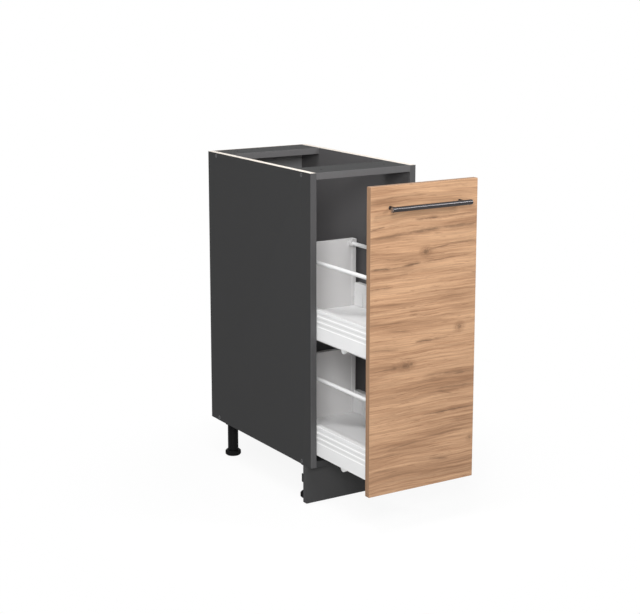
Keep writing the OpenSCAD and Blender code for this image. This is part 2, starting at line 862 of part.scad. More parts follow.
module drawer_floor(z) {
    half_w = drawer_x - steel_t - 3 * still_fit;
    floor_len = drawer_len + drawer_back_t - still_fit;
    color(white) pulled() translate([0, 0, z]) difference() {
        translate([-half_w, front_back_y + still_fit, steel_t]) cube([2 * half_w, floor_len, floor_t]);
        both_sides() floor_screw_places()
            cylinder(h = small_screw_len + still_fit, r = small_screw_r + still_fit);
    }
}

module drawer_floor_lower() { drawer_floor(lower_z); }
module drawer_floor_upper() { drawer_floor(upper_z); }

module drawer_back(z) {
    color(white) pulled() difference() {
        translate([-back_x, drawer_back_y, z + floor_top])
            cube([2 * back_x, drawer_back_t, drawer_back_h - floor_top]);
        both_sides() translate([drawer_x, drawer_back_y - cut, z + floor_top - cut])
            cube([back_x - drawer_x + cut, drawer_back_t + 2 * cut, step_z - floor_top + cut]);
        back_screw_places() back_small_screw(still_fit);
    }
}

module drawer_back_lower() { drawer_back(lower_z); }
module drawer_back_upper() { drawer_back(upper_z); }

// Gallery rails and the holders at both ends
module gallery_rail(z) {
    color(white) into_y(gallery_x, front_back_y + holder_base_t, z + gallery_h)
        cylinder(h = drawer_len - 2 * holder_base_t, r = gallery_d / 2);
}

module gallery_rail_lower_left() { pulled() left() gallery_rail(lower_z); }
module gallery_rail_lower_right() { pulled() gallery_rail(lower_z); }
module gallery_rail_upper_left() { pulled() left() gallery_rail(upper_z); }
module gallery_rail_upper_right() { pulled() gallery_rail(upper_z); }

module gallery_holder() {
    base_low_x = gallery_x - holder_boss_r;
    difference() {
        union() {
            translate([base_low_x, 0, gallery_h - holder_base_h / 2])
                cube([back_x - base_low_x, holder_base_t, holder_base_h]);
            into_y(gallery_x, 0, gallery_h) cylinder(h = holder_boss_len, r = holder_boss_r);
        }
        into_y(gallery_x, holder_base_t, gallery_h)
            cylinder(h = holder_boss_len, r = gallery_d / 2 + still_fit);
        into_y(holder_screw_x, -cut, gallery_h)
            cylinder(h = holder_base_t + 2 * cut, r = small_screw_r + still_fit);
    }
}

module gallery_holders() {
    color(nylon) pulled() both_sides() for (z = levels) translate([0, 0, z]) {
        translate([0, front_back_y, 0]) gallery_holder();
        translate([0, drawer_back_y, 0]) mirror([0, 1, 0]) gallery_holder();
    }
}

// Steel angles that hold the front and the back to the drawer sides
module bracket(height, flange_w, flange_h) {
    z = floor_top + bracket_lift;
    translate([bracket_x - bracket_t, 0, z]) cube([bracket_t, bracket_leg, height]);
    translate([bracket_x - flange_w, 0, z]) cube([flange_w, bracket_t, flange_h]);
}

module front_brackets() {
    color(white) pulled() both_sides() for (z = levels) difference() {
        translate([0, front_back_y, z]) bracket(front_bracket_h, front_flange_w, front_bracket_h);
        front_bracket_screw_places(z) front_small_screw(still_fit);
    }
}

module back_brackets() {
    flange_h = gallery_h - holder_base_h / 2 - floor_top - 2 * bracket_lift;
    color(white) pulled() both_sides() for (z = levels) difference() {
        translate([0, drawer_back_y, z]) mirror([0, 1, 0])
            bracket(back_bracket_h, back_flange_w, flange_h);
        back_bracket_screw_places(z) back_small_screw(still_fit);
    }
}

// Small screws of the brackets and holders, into the front and into the drawer backs
module front_small_screw(play) {
    translate([0, front_back_y + bracket_t, 0]) mirror([0, 1, 0]) small_screw_shank(play);
}

module back_small_screw(play) {
    translate([0, drawer_back_y - bracket_t, 0]) small_screw_shank(play);
}

module small_screw_shank(play) {
    lead = cut * sign(play);
    into_y(0, -lead, 0) cylinder(h = small_screw_len + play + lead, r = small_screw_r + play);
}

module small_screw_head() {
    into_y(0, -small_screw_head_h, 0) cylinder(h = small_screw_head_h, r = small_screw_head_r);
}

module front_bracket_screw_places(z) {
    low_z = z + floor_top + bracket_lift;
    for (h = [0.25, 0.75])
        translate([bracket_x - front_flange_w * 0.6, 0, low_z + front_bracket_h * h]) children();
}

module back_bracket_screw_places(z) {
    for (h = [40, 92, 144]) translate([bracket_x - back_flange_w / 2, 0, z + h]) children();
}

module holder_screw_place(z) {
    translate([holder_screw_x, 0, z + gallery_h]) children();
}

module front_screw_places() {
    both_sides() for (z = levels) {
        front_bracket_screw_places(z) children();
        holder_screw_place(z) translate([0, holder_base_t - bracket_t, 0]) children();
    }
}

module back_screw_places() {
    both_sides() for (z = levels) {
        back_bracket_screw_places(z) children();
        holder_screw_place(z) translate([0, bracket_t - holder_base_t, 0]) children();
    }
}

module bracket_screws() {
    color(zinc) pulled() {
        front_screw_places() {
            front_small_screw(0);
            translate([0, front_back_y + bracket_t, 0]) mirror([0, 1, 0]) small_screw_head();
        }
        back_screw_places() {
            back_small_screw(0);
            translate([0, drawer_back_y - bracket_t, 0]) small_screw_head();
        }
    }
}

side_panel_left();
side_panel_right();
bottom_panel();
front_top_rail();
rear_top_rail();
back_panel();
carcass_screws();
carcass_dowels();
back_panel_nails();
leg_plates();
leg_tubes();
leg_plate_screws();
plinth_board();
plinth_clips();
plinth_clip_screws();
foot_front_left();
foot_front_right();
foot_rear_left();
foot_rear_right();
fixed_runner_lower_left();
fixed_runner_lower_right();
fixed_runner_upper_left();
fixed_runner_upper_right();
runner_hangers();
runner_screws();
middle_runner_lower_left();
middle_runner_lower_right();
middle_runner_upper_left();
middle_runner_upper_right();
middle_runner_caps();
fixed_rollers_lower();
fixed_rollers_upper();
middle_rear_rollers_lower();
middle_rear_rollers_upper();
middle_front_rollers_lower();
middle_front_rollers_upper();
drawer_rollers_lower();
drawer_rollers_upper();
front_panel();
handle_bar();
handle_posts();
handle_screws();
drawer_side_lower_left();
drawer_side_lower_right();
drawer_side_upper_left();
drawer_side_upper_right();
drawer_runners();
drawer_floor_lower();
drawer_floor_upper();
drawer_back_lower();
drawer_back_upper();
gallery_rail_lower_left();
gallery_rail_lower_right();
gallery_rail_upper_left();
gallery_rail_upper_right();
gallery_holders();
front_brackets();
back_brackets();
bracket_screws();
floor_screws();
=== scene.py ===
"""Looks of a 300 mm pull-out pantry cabinet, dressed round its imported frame.

Lengths are in metres, in the frame's own axes: X to the right of someone who faces the
front, -Y out of the front and Z up from the floor.
"""

import logging
import math
from dataclasses import dataclass
from enum import Enum
from functools import cached_property, reduce
from typing import Callable, Optional, Sequence, Union

import bmesh
import bpy
from mathutils import Matrix, Vector


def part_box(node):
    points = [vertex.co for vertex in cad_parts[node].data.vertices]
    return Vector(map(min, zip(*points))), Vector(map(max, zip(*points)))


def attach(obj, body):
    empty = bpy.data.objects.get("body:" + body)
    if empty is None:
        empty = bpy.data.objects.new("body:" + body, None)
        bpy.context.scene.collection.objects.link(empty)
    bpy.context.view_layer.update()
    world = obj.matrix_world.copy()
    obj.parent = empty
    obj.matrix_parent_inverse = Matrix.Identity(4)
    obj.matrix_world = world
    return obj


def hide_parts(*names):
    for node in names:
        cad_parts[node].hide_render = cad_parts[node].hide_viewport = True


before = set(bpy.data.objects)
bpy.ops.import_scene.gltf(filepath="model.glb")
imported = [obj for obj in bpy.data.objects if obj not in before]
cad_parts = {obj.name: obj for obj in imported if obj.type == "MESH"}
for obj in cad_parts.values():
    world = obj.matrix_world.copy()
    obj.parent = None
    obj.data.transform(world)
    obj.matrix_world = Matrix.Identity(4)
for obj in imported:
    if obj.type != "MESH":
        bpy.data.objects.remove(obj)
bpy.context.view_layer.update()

LOG = logging.getLogger("pantry_cabinet")
Colour = tuple[float, float, float]
Point = tuple[float, float, float]
Span = tuple[float, float]
Socket = bpy.types.NodeSocket
Value = Union[float, Sequence[float], Socket]
Cells = Union[float, Point]           # cells per metre, one number or one for each axis
Pattern = tuple[Cells, ...]          # what Recipe.noise takes
FaceTest = Callable[[Vector, Vector], bool]


class Word(Enum):
    """A choice that the CAD nodes' names spell out in small letters."""

    @property
    def word(self) -> str:
        """The word that stands for it in the names."""
        return self.name.lower()


class Level(Word):
    """The two drawers, one above the other."""

    LOWER = 0
    UPPER = 1


class Side(Word):
    """The two sides of the cabinet, with the sign of X on each."""

    LEFT = -1
    RIGHT = 1


class Body(Enum):
    """The bodies of the frame that large pieces ride on."""

    CARCASS = "carcass"
    PULL_OUT = "pull_out"
    MIDDLE = "middle_runners"


class Slot(Enum):
    """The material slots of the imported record."""

    ANTHRACITE = "anthracite_board"
    HARDBOARD = "hardboard"
    OAK = "oak_board"
    WHITE_STEEL = "white_steel"
    WHITE_BOARD = "white_board"
    WHITE_PLASTIC = "white_plastic"
    DARK_METAL = "dark_metal"
    ZINC = "zinc"
    BEECH = "beech"
    BLACK_PLASTIC = "black_plastic"


# Materials

UNIT: Span = (0.0, 1.0)
MOST: Span = (0.2, 0.8)     # where nearly all of a noise's values lie
CORE: Span = (0.25, 0.75)   # where most of them lie
WHITE: Colour = (1.0, 1.0, 1.0)
SMOOTH = "SMOOTHSTEP"
NOISE_INPUTS = ("Vector", "Scale", "Detail", "Roughness", "Distortion")
SURFACE_INPUTS = ("Base Color", "Roughness", "Metallic", "Specular IOR Level")


class Recipe:
    """The nodes of a material or of the world. Most methods add one and return its output."""

    def __init__(self, owner: Union[bpy.types.Material, bpy.types.World]) -> None:
        """Empties the tree and adds the output that everything leads to.

        Args:
            owner: The material or the world.
        """
        owner.use_nodes = True
        self.tree = owner.node_tree
        self.tree.nodes.clear()
        kind = "World" if isinstance(owner, bpy.types.World) else "Material"
        self.end = self.add(f"ShaderNodeOutput{kind}", {}).inputs["Surface"]

    @cached_property
    def place(self) -> Socket:
        """Object coordinates."""
        return self.add("ShaderNodeTexCoord", {}).outputs["Object"]

    @cached_property
    def shader(self) -> bpy.types.Node:
        """The plain shader that the material then ends with.

        Returns:
            The shader's node.
        """
        shader = self.add("ShaderNodeBsdfPrincipled", {})
        self.feed(self.end, shader.outputs["BSDF"])
        return shader

    def add(
        self, kind: str, inputs: dict[Union[str, int], Value], **settings: object
    ) -> bpy.types.Node:
        """Adds a node.

        Args:
            kind: Blender's name for the kind of node.
            inputs: What goes into its sockets, by name or number.
            **settings: The node's own settings.

        Returns:
            The new node.
        """
        node = self.tree.nodes.new(kind)
        for key, setting in settings.items():
            setattr(node, key, setting)
        for key, value in inputs.items():
            self.feed(node.inputs[key], value)
        return node

    def feed(self, socket: Socket, value: Value) -> None:
        """Links or writes a value into a socket.

        Args:
            socket: The socket that takes it.
            value: Another node's output, a number, a vector or a colour.
        """
        if isinstance(value, Socket):
            self.tree.links.new(value, socket)
        elif socket.type == "RGBA" and not isinstance(value, (int, float)):
            socket.default_value = (*value[:3], 1.0)
        else:
            socket.default_value = value

    def maths(self, operation: str, a: Value, b: Value = 0.0, clamp: bool = False) -> Socket:
        """One sum on two numbers, by Blender's name for it, kept between 0 and 1 if asked."""
        node = self.add("ShaderNodeMath", {0: a, 1: b}, operation=operation, use_clamp=clamp)
        return node.outputs["Value"]

    def times(self, a: Value, b: Value, clamp: bool = False) -> Socket:
        """Two numbers multiplied."""
        return self.maths("MULTIPLY", a, b, clamp)

    def most(self, *values: Value) -> Value:
        """The largest of several numbers."""
        return reduce(lambda a, b: self.maths("MAXIMUM", a, b), values)

    def spread(self, value: Value, span: Span, to: Span = UNIT, easing: str = "LINEAR") -> Socket:
        """A value moved from one range to another and kept inside it."""
        inputs = dict(enumerate((value, *span, *to)))
        return self.add("ShaderNodeMapRange", inputs, interpolation_type=easing).outputs["Result"]

    def stretched(self, cells: Cells) -> Socket:
        """Object coordinates in which a cell is 1 wide."""
        inputs = {0: self.place, 1: (cells,) * 3 if isinstance(cells, float) else cells}
        return self.add("ShaderNodeVectorMath", inputs, operation="MULTIPLY").outputs["Vector"]

    def noise(self, cells: Union[Cells, Socket], *look: float) -> Socket:
        """Smooth noise, 0 to 1.

        Args:
            cells: Its cells per metre, or coordinates in which a cell is 1 wide.
            *look: How many finer layers it has, how strong they are and how much it is bent,
                or Blender's own values: 2, 0.5 and 0.

        Returns:
            The noise's value.
        """
        vector = cells if isinstance(cells, Socket) else self.stretched(cells)
        inputs = dict(zip(NOISE_INPUTS, (vector, 1.0, *look)))
        return self.add("ShaderNodeTexNoise", inputs).outputs["Fac"]

    def flakes(self, cells: Cells) -> bpy.types.Node:
        """A Voronoi node, with its cells per metre."""
        return self.add("ShaderNodeTexVoronoi", {"Vector": self.stretched(cells), "Scale": 1.0})

    def split(self, vector: Socket) -> list[Socket]:
        """The X, Y and Z of a vector."""
        return list(self.add("ShaderNodeSeparateXYZ", {0: vector}).outputs)

    def mix(self, factor: Value, a: Value, b: Value, blend: str = "MIX") -> Socket:
        """Two colours mixed, with a share of the second one, by Blender's name for the way."""
        parts = {0: factor, 6: a, 7: b}
        return self.add("ShaderNodeMix", parts, data_type="RGBA", blend_type=blend).outputs[2]

    def tinted(self, colour: Value, tone: Value) -> Socket:
        """A colour times a tone."""
        return self.mix(1.0, colour, tone, "MULTIPLY")

    def ramp(self, factor: Socket, *stops: tuple[float, Colour]) -> Socket:
        """A colour picked along a row of stops.

        Args:
            factor: Where along the row.
            *stops: Places along the row, each with its colour.

        Returns:
            The colour.
        """
        node = self.add("ShaderNodeValToRGB", {"Fac": factor})
        elements = node.color_ramp.elements
        while len(elements) < len(stops):
            elements.new(0.5)
        for element, (place, colour) in zip(elements, stops):
            element.position = place
            element.color = (*colour, 1.0)
        return node.outputs["Color"]

    def surface(
        self, colour: Value, roughness: Value, metallic: float = 0.0, gloss: float = 0.5
    ) -> None:
        """Sets the shader's colour, roughness, metal and mirrored share."""
        for name, value in zip(SURFACE_INPUTS, (colour, roughness, metallic, gloss)):
            self.feed(self.shader.inputs[name], value)

    def bump(self, height: Socket, depth: float) -> None:
        """Makes the surface uneven: the depth is what a height of 1 stands for, in metres."""
        node = self.add("ShaderNodeBump", {"Height": height, "Strength": 1.0, "Distance": depth})
        self.feed(self.shader.inputs["Normal"], node.outputs["Normal"])

    def end_mixed(self, share: Socket, first: bpy.types.Node, second: bpy.types.Node) -> None:
        """Ends the tree with two shaders, mixed by the share of the second."""
        parts = {0: share, 1: first.outputs[0], 2: second.outputs[0]}
        self.feed(self.end, self.add("ShaderNodeMixShader", parts).outputs[0])


@dataclass(frozen=True)
class Finish:
    """A surface finish, which paints itself on a material."""

    name: str

    def paint(self, recipe: Recipe) -> None:
        """Fills a material with this finish."""
        raise NotImplementedError

    def material(self) -> bpy.types.Material:
        """The finish's material, made when it is first asked for.

        Returns:
            The material.
        """
        found = bpy.data.materials.get(self.name)
        if found is None:
            found = bpy.data.materials.new(self.name)
            self.paint(Recipe(found))
        return found


@dataclass(frozen=True)
class Grained(Finish):
    """A colour whose tone, roughness and relief follow a grain, and its tone a cloud as well.

    A pattern holds what Recipe.noise takes. The roughness goes by the swing below and above
    its own value, and the depth in metres is what a relief of 1 stands for.
    """

    colour: Colour
    roughness: float = 0.5
    gloss: float = 0.5
    metallic: float = 0.0
    grain: Pattern = (1000.0,)
    grain_span: Span = CORE
    grain_tone: Optional[Span] = None
    cloud: Pattern = (30.0,)
    cloud_span: Span = MOST
    cloud_tone: Optional[Span] = None
    swing: Span = (0.06, 0.06)
    relief: Optional[Pattern] = None
    depth: float = 0.00002

    def paint(self, recipe: Recipe) -> None:
        """Fills a material with this finish.

        Args:
            recipe: The material.
        """
        grain = recipe.noise(*self.grain)
        tones = []
        if self.grain_tone:
            tones.append(recipe.spread(grain, self.grain_span, self.grain_tone))
        if self.cloud_tone:
            cloud = recipe.noise(*self.cloud)
            tones.append(recipe.spread(cloud, self.cloud_span, self.cloud_tone))
        colour = recipe.tinted(self.colour, reduce(recipe.times, tones))
        rough = (self.roughness - self.swing[0], self.roughness + self.swing[1])
        recipe.surface(colour, recipe.spread(grain, MOST, rough), self.metallic, self.gloss)
        recipe.bump(recipe.noise(*self.relief) if self.relief else grain, self.depth)


@dataclass(frozen=True)
class Melamine(Grained):
    """Printed paper pressed on chipboard, with the fine pearl of its press plate."""

    roughness: float = 0.6
    gloss: float = 0.10
    grain: Pattern = (1100.0, 2.0, 0.6)
    grain_span: Span = (0.3, 0.7)
    grain_tone: Optional[Span] = (0.94, 1.06)
    cloud: Pattern = (9.0, 3.0, 0.6)
    cloud_tone: Optional[Span] = (0.985, 1.015)
    depth: float = 0.00003


@dataclass(frozen=True)
class SmoothMelamine(Melamine):
    """Melamine in a plain pale colour, smoother and more even."""

    roughness: float = 0.45
    gloss: float = 0.22
    grain: Pattern = (1000.0, 2.0, 0.6)
    grain_tone: Optional[Span] = (0.985, 1.015)
    depth: float = 0.00002


@dataclass(frozen=True)
class EdgeBand(Grained):
    """A thin plastic band on a board's edge, drawn out along its length."""

    roughness: float = 0.42
    gloss: float = 0.3
    grain: Pattern = ((700.0, 700.0, 12.0), 3.0, 0.55)
    grain_tone: Optional[Span] = (0.95, 1.05)
    swing: Span = (0.05, 0.05)


@dataclass(frozen=True)
class PowderCoat(Grained):
    """Baked powder paint on steel, with a slight orange peel."""

    roughness: float = 0.34
    grain: Pattern = (520.0, 1.0, 0.4)
    cloud: Pattern = (14.0,)
    cloud_tone: Optional[Span] = (0.985, 1.01)
    swing: Span = (0.04, 0.04)


@dataclass(frozen=True)
class MouldedPlastic(Grained):
    """Moulded plastic with the fine spark grain of its mould."""

    roughness: float = 0.38
    gloss: float = 0.45
    grain: Pattern = (1400.0, 2.0, 0.55)
    cloud_tone: Optional[Span] = (0.93, 1.07)
    swing: Span = (0.07, 0.07)
    depth: float = 0.00001


@dataclass(frozen=True)
class BrushedMetal(Grained):
    """Metal brushed along X, then plated or lacquered."""

    metallic: float = 1.0
    grain: Pattern = ((25.0, 2600.0, 2600.0), 3.0, 0.65)
    grain_tone: Optional[Span] = (0.86, 1.12)
    swing: Span = (0.06, 0.08)
    depth: float = 0.000004


@dataclass(frozen=True)
class PlatedSteel(Grained):
    """Tumbled and plated small steel parts, a little uneven."""

    roughness: float = 0.36
    metallic: float = 1.0
    grain: Pattern = (420.0, 3.0, 0.6)
    grain_tone: Optional[Span] = (0.88, 1.08)
    swing: Span = (0.08, 0.1)
    relief: Optional[Pattern] = (2400.0, 1.0)
    depth: float = 0.00001


@dataclass(frozen=True)
class OakBand(Grained):
    """The oak-look band on the front's edges, with straight fibres along it."""

    gloss: float = 0.15
    grain: Pattern = ((260.0, 620.0, 18.0), 4.0, 0.6)
    grain_tone: Optional[Span] = (0.9, 1.08)
    cloud: Pattern = ((60.0, 190.0, 5.0), 3.0, 0.55)
    cloud_span: Span = CORE
    cloud_tone: Optional[Span] = (0.9, 1.1)
    swing: Span = (0.0, 0.0)
    depth: float = 0.00003


@dataclass(frozen=True)
class Chipboard(Finish):
    """The sawn edge of chipboard: pressed flakes, pale and tan, with small voids."""

    pale: Colour = (0.87, 0.82, 0.76)
    tan: Colour = (0.74, 0.64, 0.54)
    dark: Colour = (0.40, 0.30, 0.22)
    flake_per_m: float = 700.0

    def paint(self, recipe: Recipe) -> None:
        """Fills a material with this finish.

        Args:
            recipe: The material.
        """
        scale = self.flake_per_m
        shade = recipe.split(recipe.flakes((scale, scale * 0.35, scale)).outputs["Color"])[0]
        stops = ((0.0, self.tan), (0.35, self.pale), (0.8, self.pale), (1.0, self.tan))
        grit = recipe.noise((scale * 2.5, scale * 1.2, scale * 2.5), 3.0, 0.65)
        voids = recipe.times(recipe.spread(grit, (0.33, 0.24), easing=SMOOTH), 0.6)
        recipe.surface(recipe.mix(voids, recipe.ramp(shade, *stops), self.dark), 0.82)
        recipe.bump(recipe.mix(0.5, grit, shade), 0.00012)


@dataclass(frozen=True)
class PlainWood(Finish):
    """Turned beech, with short dark rays."""

    colour: Colour = (0.62, 0.43, 0.27)
    ray_tone: Colour = (0.3, 0.17, 0.09)

    def paint(self, recipe: Recipe) -> None:
        """Fills a material with this finish.

        Args:
            recipe: The material.
        """
        fibre = recipe.noise((60.0, 900.0, 900.0), 3.0, 0.6)
        rays = recipe.spread(recipe.noise((500.0, 2600.0, 2600.0), 1.0), (0.4, 0.3), (0.0, 0.3))
        colour = recipe.tinted(self.colour, recipe.spread(fibre, CORE, (0.86, 1.1)))
        recipe.surface(recipe.mix(rays, colour, self.ray_tone), 0.6)
        recipe.bump(fibre, 0.00004)


@dataclass(frozen=True)
class Hardboard(Finish):
    """The bare side of hardboard: pressed brown fibres with the mesh of its press screen."""

    colour: Colour = (0.235, 0.140, 0.080)

    def paint(self, recipe: Recipe) -> None:
        """Fills a material with this finish.

        Args:
            recipe: The material.
        """
        screen = recipe.flakes(520.0).outputs["Distance"]
        fibres = recipe.noise(260.0, 5.0, 0.7, 1.5)
        recipe.surface(recipe.tinted(self.colour, recipe.spread(fibres, CORE, (0.78, 1.2))), 0.74)
        recipe.bump(recipe.maths("ADD", screen, fibres), 0.00009)


@dataclass(frozen=True)
class Crack:
    """A dark streak along the grain: its two ends on the front, its width and its depth."""

    x0: float
    z0: float
    x1: float
    z1: float
    width: float
    depth: float


@dataclass(frozen=True)
class Knot:
    """A small knot: its centre on the front, its half length, its half height and its depth."""

    x: float
    z: float
    half_x: float
    half_z: float
    depth: float


@dataclass(frozen=True)
class OakDecor(Finish):
    """Oak with the grain along X: bands, fibres, pores, its own cracks and knots, and painted
    light that grows towards the top.
    """

    light: Colour = (0.430, 0.260, 0.151)
    middle: Colour = (0.336, 0.193, 0.109)
    brown: Colour = (0.207, 0.109, 0.058)
    crack_tone: Colour = (0.085, 0.050, 0.030)
    knot_tone: Colour = (0.120, 0.066, 0.036)
    roughness: float = 0.48
    swing: Span = (0.05, 0.07)
    gloss: float = 0.3
    depth: float = 0.00006
    # Painted light: between these heights the wood grows lighter towards the top.
    top_light_z: Span = (0.1, 0.82)
    top_light_tone: Span = (1.0, 1.22)
    crack_core: float = 1.3             # in widths of the crack
    crack_shade: Span = (0.004, 2.2)    # in metres, and in widths on top of that
    crack_taper: float = 3.0
    crack_cut: float = 2.2              # in heights of the fibres
    knot_core: Span = (0.0, 2.6)        # in squared half sizes of the knot
    knot_ring: Span = (0.6, 18.0)
    ring_share: float = 0.85
    cracks: tuple[Crack, ...] = ()
    knots: tuple[Knot, ...] = ()

    def paint(self, recipe: Recipe) -> None:
        """Fills a material with this finish.

        Args:
            recipe: The material.
        """
        place = recipe.split(self.bent_place(recipe))
        colour, fibre = self.grain(recipe, place)
        dark, shade = self.marks(recipe, place)
        knot, ring = self.knot_masks(recipe, place)
        for mask, tone in (
            (shade, self.brown), (dark, self.crack_tone),
            (recipe.times(ring, self.ring_share), self.brown), (knot, self.knot_tone),
        ):
            colour = recipe.mix(mask, colour, tone)
        rough = (self.roughness - self.swing[0], self.roughness + self.swing[1])
        recipe.surface(colour, recipe.spread(fibre, MOST, rough), gloss=self.gloss)
        cut = recipe.times(dark, self.crack_cut)
        recipe.bump(recipe.maths("SUBTRACT", fibre, cut), self.depth)

    def bent_place(self, recipe: Recipe) -> Socket:
        """Bends the grain up and down, in long waves and short ripples.

        Args:
            recipe: The material.

        Returns:
            The bent object coordinates.
        """
        wave = recipe.spread(recipe.noise((4.5, 3.0, 7.0)), UNIT, (-0.009, 0.009))
        ripple = recipe.spread(recipe.noise((26.0, 10.0, 60.0)), UNIT, (-0.0016, 0.0016))
        shift = recipe.add("ShaderNodeCombineXYZ", {2: recipe.maths("ADD", wave, ripple)})
        inputs = {0: recipe.place, 1: shift.outputs[0]}
        return recipe.add("ShaderNodeVectorMath", inputs, operation="ADD").outputs["Vector"]

    def grain(self, recipe: Recipe, place: Sequence[Socket]) -> tuple[Socket, Socket]:
        """The plain figure of the wood, with painted light towards the top.

        Args:
            recipe: The material.
            place: The place along the grain, through the board and across the grain.

        Returns:
            The colour, and the fine fibres as a relief.
        """
        def drawn(cells: Point, *look: float) -> Socket:
            """Noise with its cells per metre along the grain, through the board and across."""
            parts = {i: recipe.times(part, cells[i]) for i, part in enumerate(place)}
            return recipe.noise(recipe.add("ShaderNodeCombineXYZ", parts).outputs[0], *look)

        broad = drawn((2.4, 8.0, 15.0), 3.0, 0.55)
        band = drawn((3.6, 40.0, 115.0), 5.0, 0.66, 0.3)
        fibre = drawn((8.0, 300.0, 430.0), 4.0, 0.66)
        dash = drawn((22.0, 300.0, 520.0))
        pore = drawn((75.0, 900.0, 1500.0))
        tone = recipe.maths("ADD", recipe.times(broad, 0.4), recipe.times(band, 0.6))
        stops = ((0.36, self.brown), (0.47, self.middle), (0.58, self.light))
        # painted light, lighter towards the top of the front
        height = recipe.spread(recipe.split(recipe.place)[2], self.top_light_z, self.top_light_tone)
        streak = recipe.times(height, recipe.spread(fibre, CORE, (0.74, 1.23)))
        dashes = recipe.times(recipe.spread(dash, (0.38, 0.28), easing=SMOOTH), 0.70)
        pores = recipe.times(recipe.spread(pore, (0.37, 0.28), easing=SMOOTH), 0.5)
        colour = recipe.tinted(recipe.ramp(tone, *stops), streak)
        return recipe.mix(recipe.most(dashes, pores), colour, self.brown), fibre

    def marks(self, recipe: Recipe, place: Sequence[Socket]) -> tuple[Socket, Socket]:
        """The dark cracks and streaks, and the browner wood along them.

        Args:
            recipe: The material.
            place: The place along the grain, through the board and across the grain.

        Returns:
            The mask of the cracks, and the mask of the wood along them.
        """
        ragged = recipe.noise((90.0, 30.0, 260.0), 3.0, 0.6)
        cloudy = recipe.noise((38.0, 20.0, 150.0), 4.0, 0.65)
        total = around = 0.0
        for crack in self.cracks:
            ends = (crack.x0, crack.x1)
            line = recipe.spread(place[0], ends, (crack.z0, crack.z1))
            along = recipe.maths("ABSOLUTE", recipe.spread(place[0], ends, (-1.0, 1.0)))
            taper = recipe.maths("SUBTRACT", 1.0, recipe.maths("POWER", along, self.crack_taper))
            off = recipe.maths("ABSOLUTE", recipe.maths("SUBTRACT", place[2], line))
            fade = (crack.depth, 0.0)
            reach = self.crack_shade[0] + self.crack_shade[1] * crack.width
            near = recipe.spread(off, (0.0, self.crack_core * crack.width), fade, SMOOTH)
            wide = recipe.spread(off, (0.0, reach), fade, SMOOTH)
            total = recipe.most(total, recipe.times(near, taper))
            around = recipe.most(around, recipe.times(wide, taper))
        return (
            recipe.times(total, recipe.spread(ragged, (0.3, 0.65), (0.45, 1.0)), clamp=True),
            recipe.times(around, recipe.spread(cloudy, (0.36, 0.62), (0.1, 1.0)), clamp=True),
        )

    def knot_masks(self, recipe: Recipe, place: Sequence[Socket]) -> tuple[Socket, Socket]:
        """The knots and the darker wood that flows round them.

        Args:
            recipe: The material.
            place: The place along the grain, through the board and across the grain.

        Returns:
            The mask of the knots, and the mask of the wood round them.
        """
        def squared(axis: int, middle: float, half: float) -> Socket:
            """The square of a distance, measured in half sizes of the knot."""
            off = recipe.maths("DIVIDE", recipe.maths("SUBTRACT", place[axis], middle), half)
            return recipe.maths("POWER", recipe.maths("ABSOLUTE", off), 2.0)

        heart = halo = 0.0
        for knot in self.knots:
            reach = recipe.maths(
                "ADD", squared(0, knot.x, knot.half_x), squared(2, knot.z, knot.half_z)
            )
            fade = (knot.depth, 0.0)
            heart = recipe.most(heart, recipe.spread(reach, self.knot_core, fade, SMOOTH))
            halo = recipe.most(halo, recipe.spread(reach, self.knot_ring, fade, SMOOTH))
        torn = recipe.noise((240.0, 60.0, 420.0), 3.0, 0.6)
        torn = recipe.spread(torn, (0.3, 0.6), (0.35, 1.0))
        return recipe.times(heart, torn), recipe.times(halo, torn)


ANTHRACITE = Melamine("anthracite_melamine", (0.0335, 0.0335, 0.034))
# A darker copy of the anthracite: painted shade on the top faces of the cross boards.
SHADED_TOP_ANTHRACITE = Melamine("top_melamine_painted_shade", (0.0205, 0.0205, 0.021))
# A lighter copy of the anthracite: painted light on the plinth, which lies in shade under the
# drawer.
LIT_PLINTH_ANTHRACITE = Melamine("anthracite_plinth_melamine", (0.051, 0.051, 0.0515))
# A lighter copy of the anthracite: painted light on the inner faces of the sides.
LIT_INSIDE_ANTHRACITE = Melamine("anthracite_inside_melamine", (0.100, 0.097, 0.099))
# Grey lacquer, painted lighter as light on the back's inner face, which the rails shade.
LIT_GREY_LACQUER = Melamine(
    "grey_lacquer_painted_light", (0.240, 0.240, 0.245), grain=(800.0, 2.0, 0.6)
)
WHITE_MELAMINE = SmoothMelamine("white_melamine", (0.87, 0.87, 0.87))
# A darker copy of the white melamine: painted shade on the drawers' backs.
SHADED_BACK_MELAMINE = SmoothMelamine("pale_grey_melamine", (0.58, 0.573, 0.573))
ANTHRACITE_BAND = EdgeBand("anthracite_edge_band", (0.072, 0.071, 0.073), gloss=0.2)
# A darker copy of the edge band: painted shade on the bottom's front edge and the plinth's ends.
SHADED_BAND = EdgeBand("edge_band_painted_shade", (0.030, 0.030, 0.031), gloss=0.15)
# A lighter copy of the edge band: painted highlight on the rails' front edges.
HIGHLIT_RAIL_BAND = EdgeBand("anthracite_rail_band", (0.104, 0.102, 0.104), gloss=0.2)
# A darker copy of the white band: painted shade on the backs' top and ends.
SHADED_BACK_BAND = EdgeBand("back_band_painted_shade", (0.68, 0.675, 0.675))
WHITE_COAT = PowderCoat("white_powder_coat", (0.80, 0.80, 0.80))
# A darker copy of the white coat: painted shade on the back angles and the bracket screws.
SHADED_COAT = PowderCoat("powder_coat_painted_shade", (0.60, 0.595, 0.595))
WHITE_NYLON = MouldedPlastic("white_nylon", (0.76, 0.76, 0.745))
